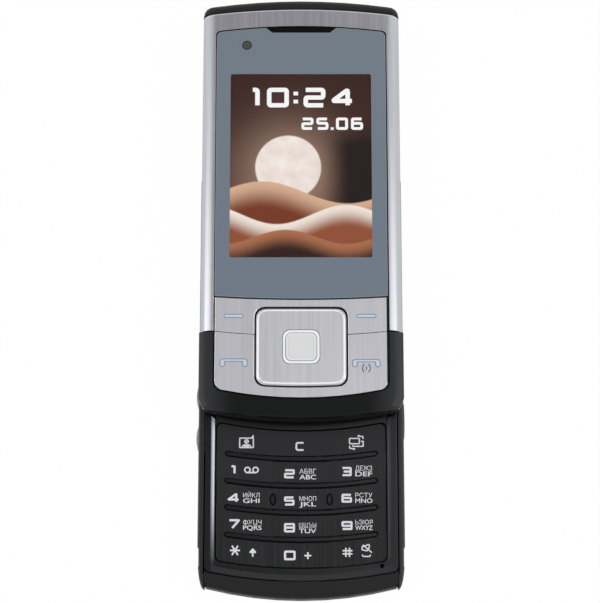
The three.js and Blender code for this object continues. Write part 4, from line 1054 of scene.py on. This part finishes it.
PEN = 0.5
SIGN_CORNER = 0.13
SIGN_CORNERS = {"C": 0.4, "tape": 0.3}
SIGNS = {
    (0, 0): [("person", -12.83, -35.9, 3.5, 2.9, 0.3)],
    (0, 1): [("C", -0.29, -36.93, 2.1, 2.12, 0.42)],
    (0, 2): [("turned", 12.94, -35.95, 3.5, 3.7, 0.3)],
    (1, 0): [("1", -15.83, -42.45, 1.45, 2.15, PEN), ("tape", -11.63, -42.48, 3.5, 1.6, 0.34)],
    (1, 1): [("2", -2.76, -43.39, 2.52, 2.17, PEN)],
    (1, 2): [("3", 10.62, -42.86, 2.4, 2.19, PEN)],
    (2, 0): [("4", -15.8, -49.02, 2.85, 2.3, PEN)],
    (2, 1): [("5", -2.79, -49.77, 2.45, 2.15, PEN)],
    (2, 2): [("6", 10.62, -49.12, 2.46, 2.1, PEN)],
    (3, 0): [("7", -15.58, -55.15, 2.75, 2.3, PEN), ("bar", -12.97, -54.74, 0.2, 1.3, 0.2)],
    (3, 1): [("8", -2.72, -56.0, 2.56, 2.19, PEN)],
    (3, 2): [("9", 10.65, -55.49, 2.57, 2.09, PEN)],
    (4, 0): [("star", -15.36, -61.25, 2.7, 2.55, 0.38), ("up", -11.23, -61.75, 1.75, 2.0, 0.36)],
    (4, 1): [("0", -2.64, -62.41, 2.7, 2.25, PEN), ("plus", 1.54, -62.46, 1.95, 1.98, 0.38)],
    (4, 2): [("hash", 10.73, -61.7, 2.62, 2.45, 0.34), ("bell", 15.22, -61.28, 2.6, 3.0, 0.27)],
}
LETTERS = {
    (1, 1): ("АБВГ", "ABC", -0.42, 3.51, -44.69, -42.26),
    (1, 2): ("ДЕЖЗ", "DEF", 12.65, 16.6, -43.95, -41.52),
    (2, 0): ("ИЙКЛ", "GHI", -13.56, -9.71, -50.2, -47.9),
    (2, 1): ("МНОП", "JKL", -0.42, 3.5, -51.0, -48.7),
    (2, 2): ("РСТУ", "MNO", 12.61, 16.59, -50.2, -47.9),
    (3, 0): ("OХЦЧ", "PQRS", -13.52, -9.23, -56.5, -54.2),
    (3, 1): ("ШЩЪЫ", "TUV", -0.51, 3.49, -57.25, -54.9),
    (3, 2): ("ЬЭЮЯ", "WXYZ", 12.57, 16.61, -56.5, -54.2),
}
ROW_GAP = 0.12
SIGN_LIFT = 0.01
LETTER_LIFT = 0.012
LOWER_WEIGHT = 0.012
UPPER_WEIGHT = 0.0


def letter_rows(name, upper, lower, left, right, bottom, top):
    """Two rows of small letters. The lower row is bolder."""
    cap = (top - bottom) / 2 - ROW_GAP
    level = KEY_TOP + LETTER_LIFT
    return [lettering(name, lower, left, right, bottom, cap, level, LOWER_WEIGHT),
            lettering(name, upper, left, right, top - cap, cap, level, UPPER_WEIGHT)]


for place, signs in SIGNS.items():
    key = "key_{}_{}".format(*place)
    printing = [strokes(f"{key}_legend", glyph(sign, x, y, wide, high, pen), pen, KEY_TOP + SIGN_LIFT,
                        SIGN_CORNERS.get(sign, SIGN_CORNER)) for sign, x, y, wide, high, pen in signs]
    if place in LETTERS:
        printing += letter_rows(f"{key}_legend", *LETTERS[place])
    finished(joined(printing), f"{key}_legend", key, "legend")


# The marks on the steel keys: a blue line drawn round a paler one

MARK_EDGE = 0.42
EAR = {"in": 0.66, "below": 0.28, "above": 0.65, "pen": 1.3}
GRIP = {"in": 1.0, "pen": 0.8}


def steel_mark(name, body, lines):
    """A mark in two layers: its blue outline, and the paler lines within. Each line comes with its width."""
    for layer, lift, less, finish in (("_edge", 0.005, 0.0, "mark_edge"), ("", 0.02, MARK_EDGE, "mark")):
        pieces = [strokes(name, [line], width - less, PANEL_TOP + lift, 0.5, rounded=True)
                  for line, width in lines]
        finished(joined(pieces), name + layer, body, finish)


def handset(left, right, middle, low):
    """A handset lying on its ears."""
    grip = path((left + GRIP["in"], middle), (right - GRIP["in"], middle))
    ears = [path((x, middle - EAR["below"]), (x, low + EAR["above"]))
            for x in (left + EAR["in"], right - EAR["in"])]
    return [(grip, GRIP["pen"])] + [(ear, EAR["pen"]) for ear in ears]


steel_mark("soft_mark_left", "soft_keys", [(path((-17.69, -7.24), (-13.93, -7.24)), 1.0)])
steel_mark("soft_mark_right", "soft_keys", [(path((13.41, -7.24), (17.12, -7.24)), 1.0)])
steel_mark("call_mark", "call_keys", handset(-19.03, -12.45, -17.82, -19.47))
steel_mark("end_mark", "call_keys", handset(11.83, 18.54, -17.95, -19.54))

POWER = (15.17, -19.72)
POWER_BAR = 0.4
circle = ring(*POWER, 0.92, 1.1, 24)
power = [path(*circle[8:17]), path(*circle[20:], *circle[:5]),
         path((POWER[0], POWER[1] - POWER_BAR), (POWER[0], POWER[1] + POWER_BAR))]
finished(strokes("power_mark", power, 0.24, PANEL_TOP + 0.06, 0.1), "power_mark", "call_keys", "etched")

PAD_MARKS = {"left": (-7.78, -14.85), "right": (7.1, -14.85), "low": (-0.58, -21.34)}
for side, spot in PAD_MARKS.items():
    mark = strokes(f"pad_mark_{side}", [loop(*ring(*spot, 0.42, 0.36, 8))], 0.14, PANEL_TOP - 0.07, 0.1)
    finished(mark, f"pad_mark_{side}", "nav_pad", "faint")


# The clock and the date on the display: each sign with its middle and its width

CLOCK = [("1", -10.9, 2.6), ("0", -5.6, 5.3), (":", -1.3, 1.4), ("2", 3.2, 5.3), ("4", 9.9, 5.7)]
DATE = [("2", 1.5, 2.9), ("5", 5.1, 2.9), (".", 7.45, 0.9), ("0", 9.8, 2.9), ("6", 13.4, 2.9)]


def lit_sign(name, row, y, high, pen):
    lines = [line for sign, x, wide in row for line in glyph(sign, x, y, wide, high, pen)]
    finished(strokes(name, lines, pen, lcd_top + 0.11, pen * 0.4), name, "slider", "lit")


lit_sign("display_clock", CLOCK, 46.8, 5.0, 1.1)
lit_sign("display_date", DATE, 40.2, 3.1, 0.7)


# Nodes that keep their own shape

PLAIN = {
    "steel": ["slide_base_plate", "slide_plate", "slide_spring_left", "slide_spring_right", "sim_holder",
              "vibration_motor", "io_connector", "case_screw_1", "case_screw_2", "case_screw_3",
              "case_screw_4"],
    "brass": ["vibration_weight"],
    "board": ["main_pcb", "slider_pcb"],
    "rubber": ["key_mat", "slider_dome_sheet", "nav_key_web"],
    "cell": ["battery", "loudspeaker", "front_camera", "lcd_module", "earpiece_speaker"],
    "flex": ["slider_flex", "antenna_carrier"],
    "mesh": ["microphone", "earpiece_mesh"],
    "black": ["rear_camera_module"],
    "rear_eye": ["rear_camera_window"],
}
for finish, nodes in PLAIN.items():
    for node in nodes:
        for slot in NODES[node].material_slots:
            slot.material = FINISHES[finish]


# The stage

def stage_floor():
    """A matt floor that looks white to the camera and in reflections."""
    bpy.ops.mesh.primitive_plane_add(size=4.0, location=(0, 0, 0))
    floor = bpy.context.active_object
    floor.name = "floor"
    finish = Finish("floor")
    camera, glossy, through = (finish.node("ShaderNodeLightPath", output=f"Is {kind} Ray")
                               for kind in ("Camera", "Glossy", "Transmission"))
    white = finish.maths("ADD", camera * 0.98 + glossy * 0.55, through * 0.95, clamp=True)
    matt = finish.node("ShaderNodeBsdfDiffuse", inputs={"Color": (0.85, 0.85, 0.85, 1.0)})
    bright = finish.node("ShaderNodeEmission", inputs={"Color": (1.0, 1.0, 1.0, 1.0), "Strength": 1.0})
    finish.end(finish.node("ShaderNodeMixShader", inputs={0: white, 1: matt, 2: bright}))
    floor.data.materials.append(finish.owner)


# The world's brightness in reflections, from the horizon up to overhead
CEILING = [
    (0.0, (0.85, 0.85, 0.85, 1.0)),
    (0.3, (0.8, 0.8, 0.8, 1.0)),
    (0.6, (0.62, 0.62, 0.62, 1.0)),
    (0.85, (0.5, 0.5, 0.51, 1.0)),
    (1.0, (0.45, 0.45, 0.46, 1.0)),
]


def world():
    """A plain grey light all round, darker overhead in reflections, and white to the camera."""
    scene = bpy.context.scene
    scene.world = scene.world or bpy.data.worlds.new("studio")
    finish = Finish("studio", scene.world)
    camera, glossy = (finish.node("ShaderNodeLightPath", output=f"Is {kind} Ray")
                      for kind in ("Camera", "Glossy"))
    spot = finish.node("ShaderNodeTexCoord", output="Generated")
    height = finish.node("ShaderNodeSeparateXYZ", inputs={0: spot}, output=2)
    ceiling = finish.node("ShaderNodeValToRGB", {"stops": CEILING}, {0: height})
    soft = finish.blend(glossy, (0.56, 0.56, 0.56, 1.0), ceiling)
    colour = finish.blend(camera, soft, (1.0, 1.0, 1.0, 1.0))
    finish.end(finish.node("ShaderNodeBackground", inputs={"Color": colour, "Strength": 1.0}))


LIT_SPOT = Vector((0, 0, 0.01))


def softbox(name, place, size, watts):
    """A broad lamp, turned to the phone."""
    light = bpy.data.lights.new(name, "AREA")
    light.shape = "RECTANGLE"
    light.size, light.size_y = size
    light.energy = watts
    box = bpy.data.objects.new(name, light)
    bpy.context.scene.collection.objects.link(box)
    box.location = place
    box.rotation_euler = (LIT_SPOT - Vector(place)).to_track_quat("-Z", "Y").to_euler()


VIEW_TILT = math.radians(13.0)
VIEW_DISTANCE = 0.471
VIEW_AIM = Vector((-0.28, -2.23, 8.0)) * MM


def stand_camera():
    """The photograph's viewpoint: 13 degrees off the vertical, 0.471 m from the phone."""
    lens = bpy.data.cameras.new("camera")
    lens.sensor_width = 36.0
    lens.lens = 118.1
    lens.clip_start = 0.01
    stand = bpy.data.objects.new("camera", lens)
    bpy.context.scene.collection.objects.link(stand)
    stand.location = VIEW_AIM + Vector((0.0, -math.sin(VIEW_TILT), math.cos(VIEW_TILT))) * VIEW_DISTANCE
    stand.rotation_euler = (VIEW_TILT, 0.0, 0.0)
    bpy.context.scene.camera = stand


stage_floor()
world()
softbox("key_left", (-0.78, 0.0, 0.42), (0.5, 1.1), 2.5)
softbox("key_right", (0.6, -0.05, 0.6), (0.55, 1.1), 3.2)
stand_camera()
bpy.context.scene.view_settings.view_transform = "Standard"
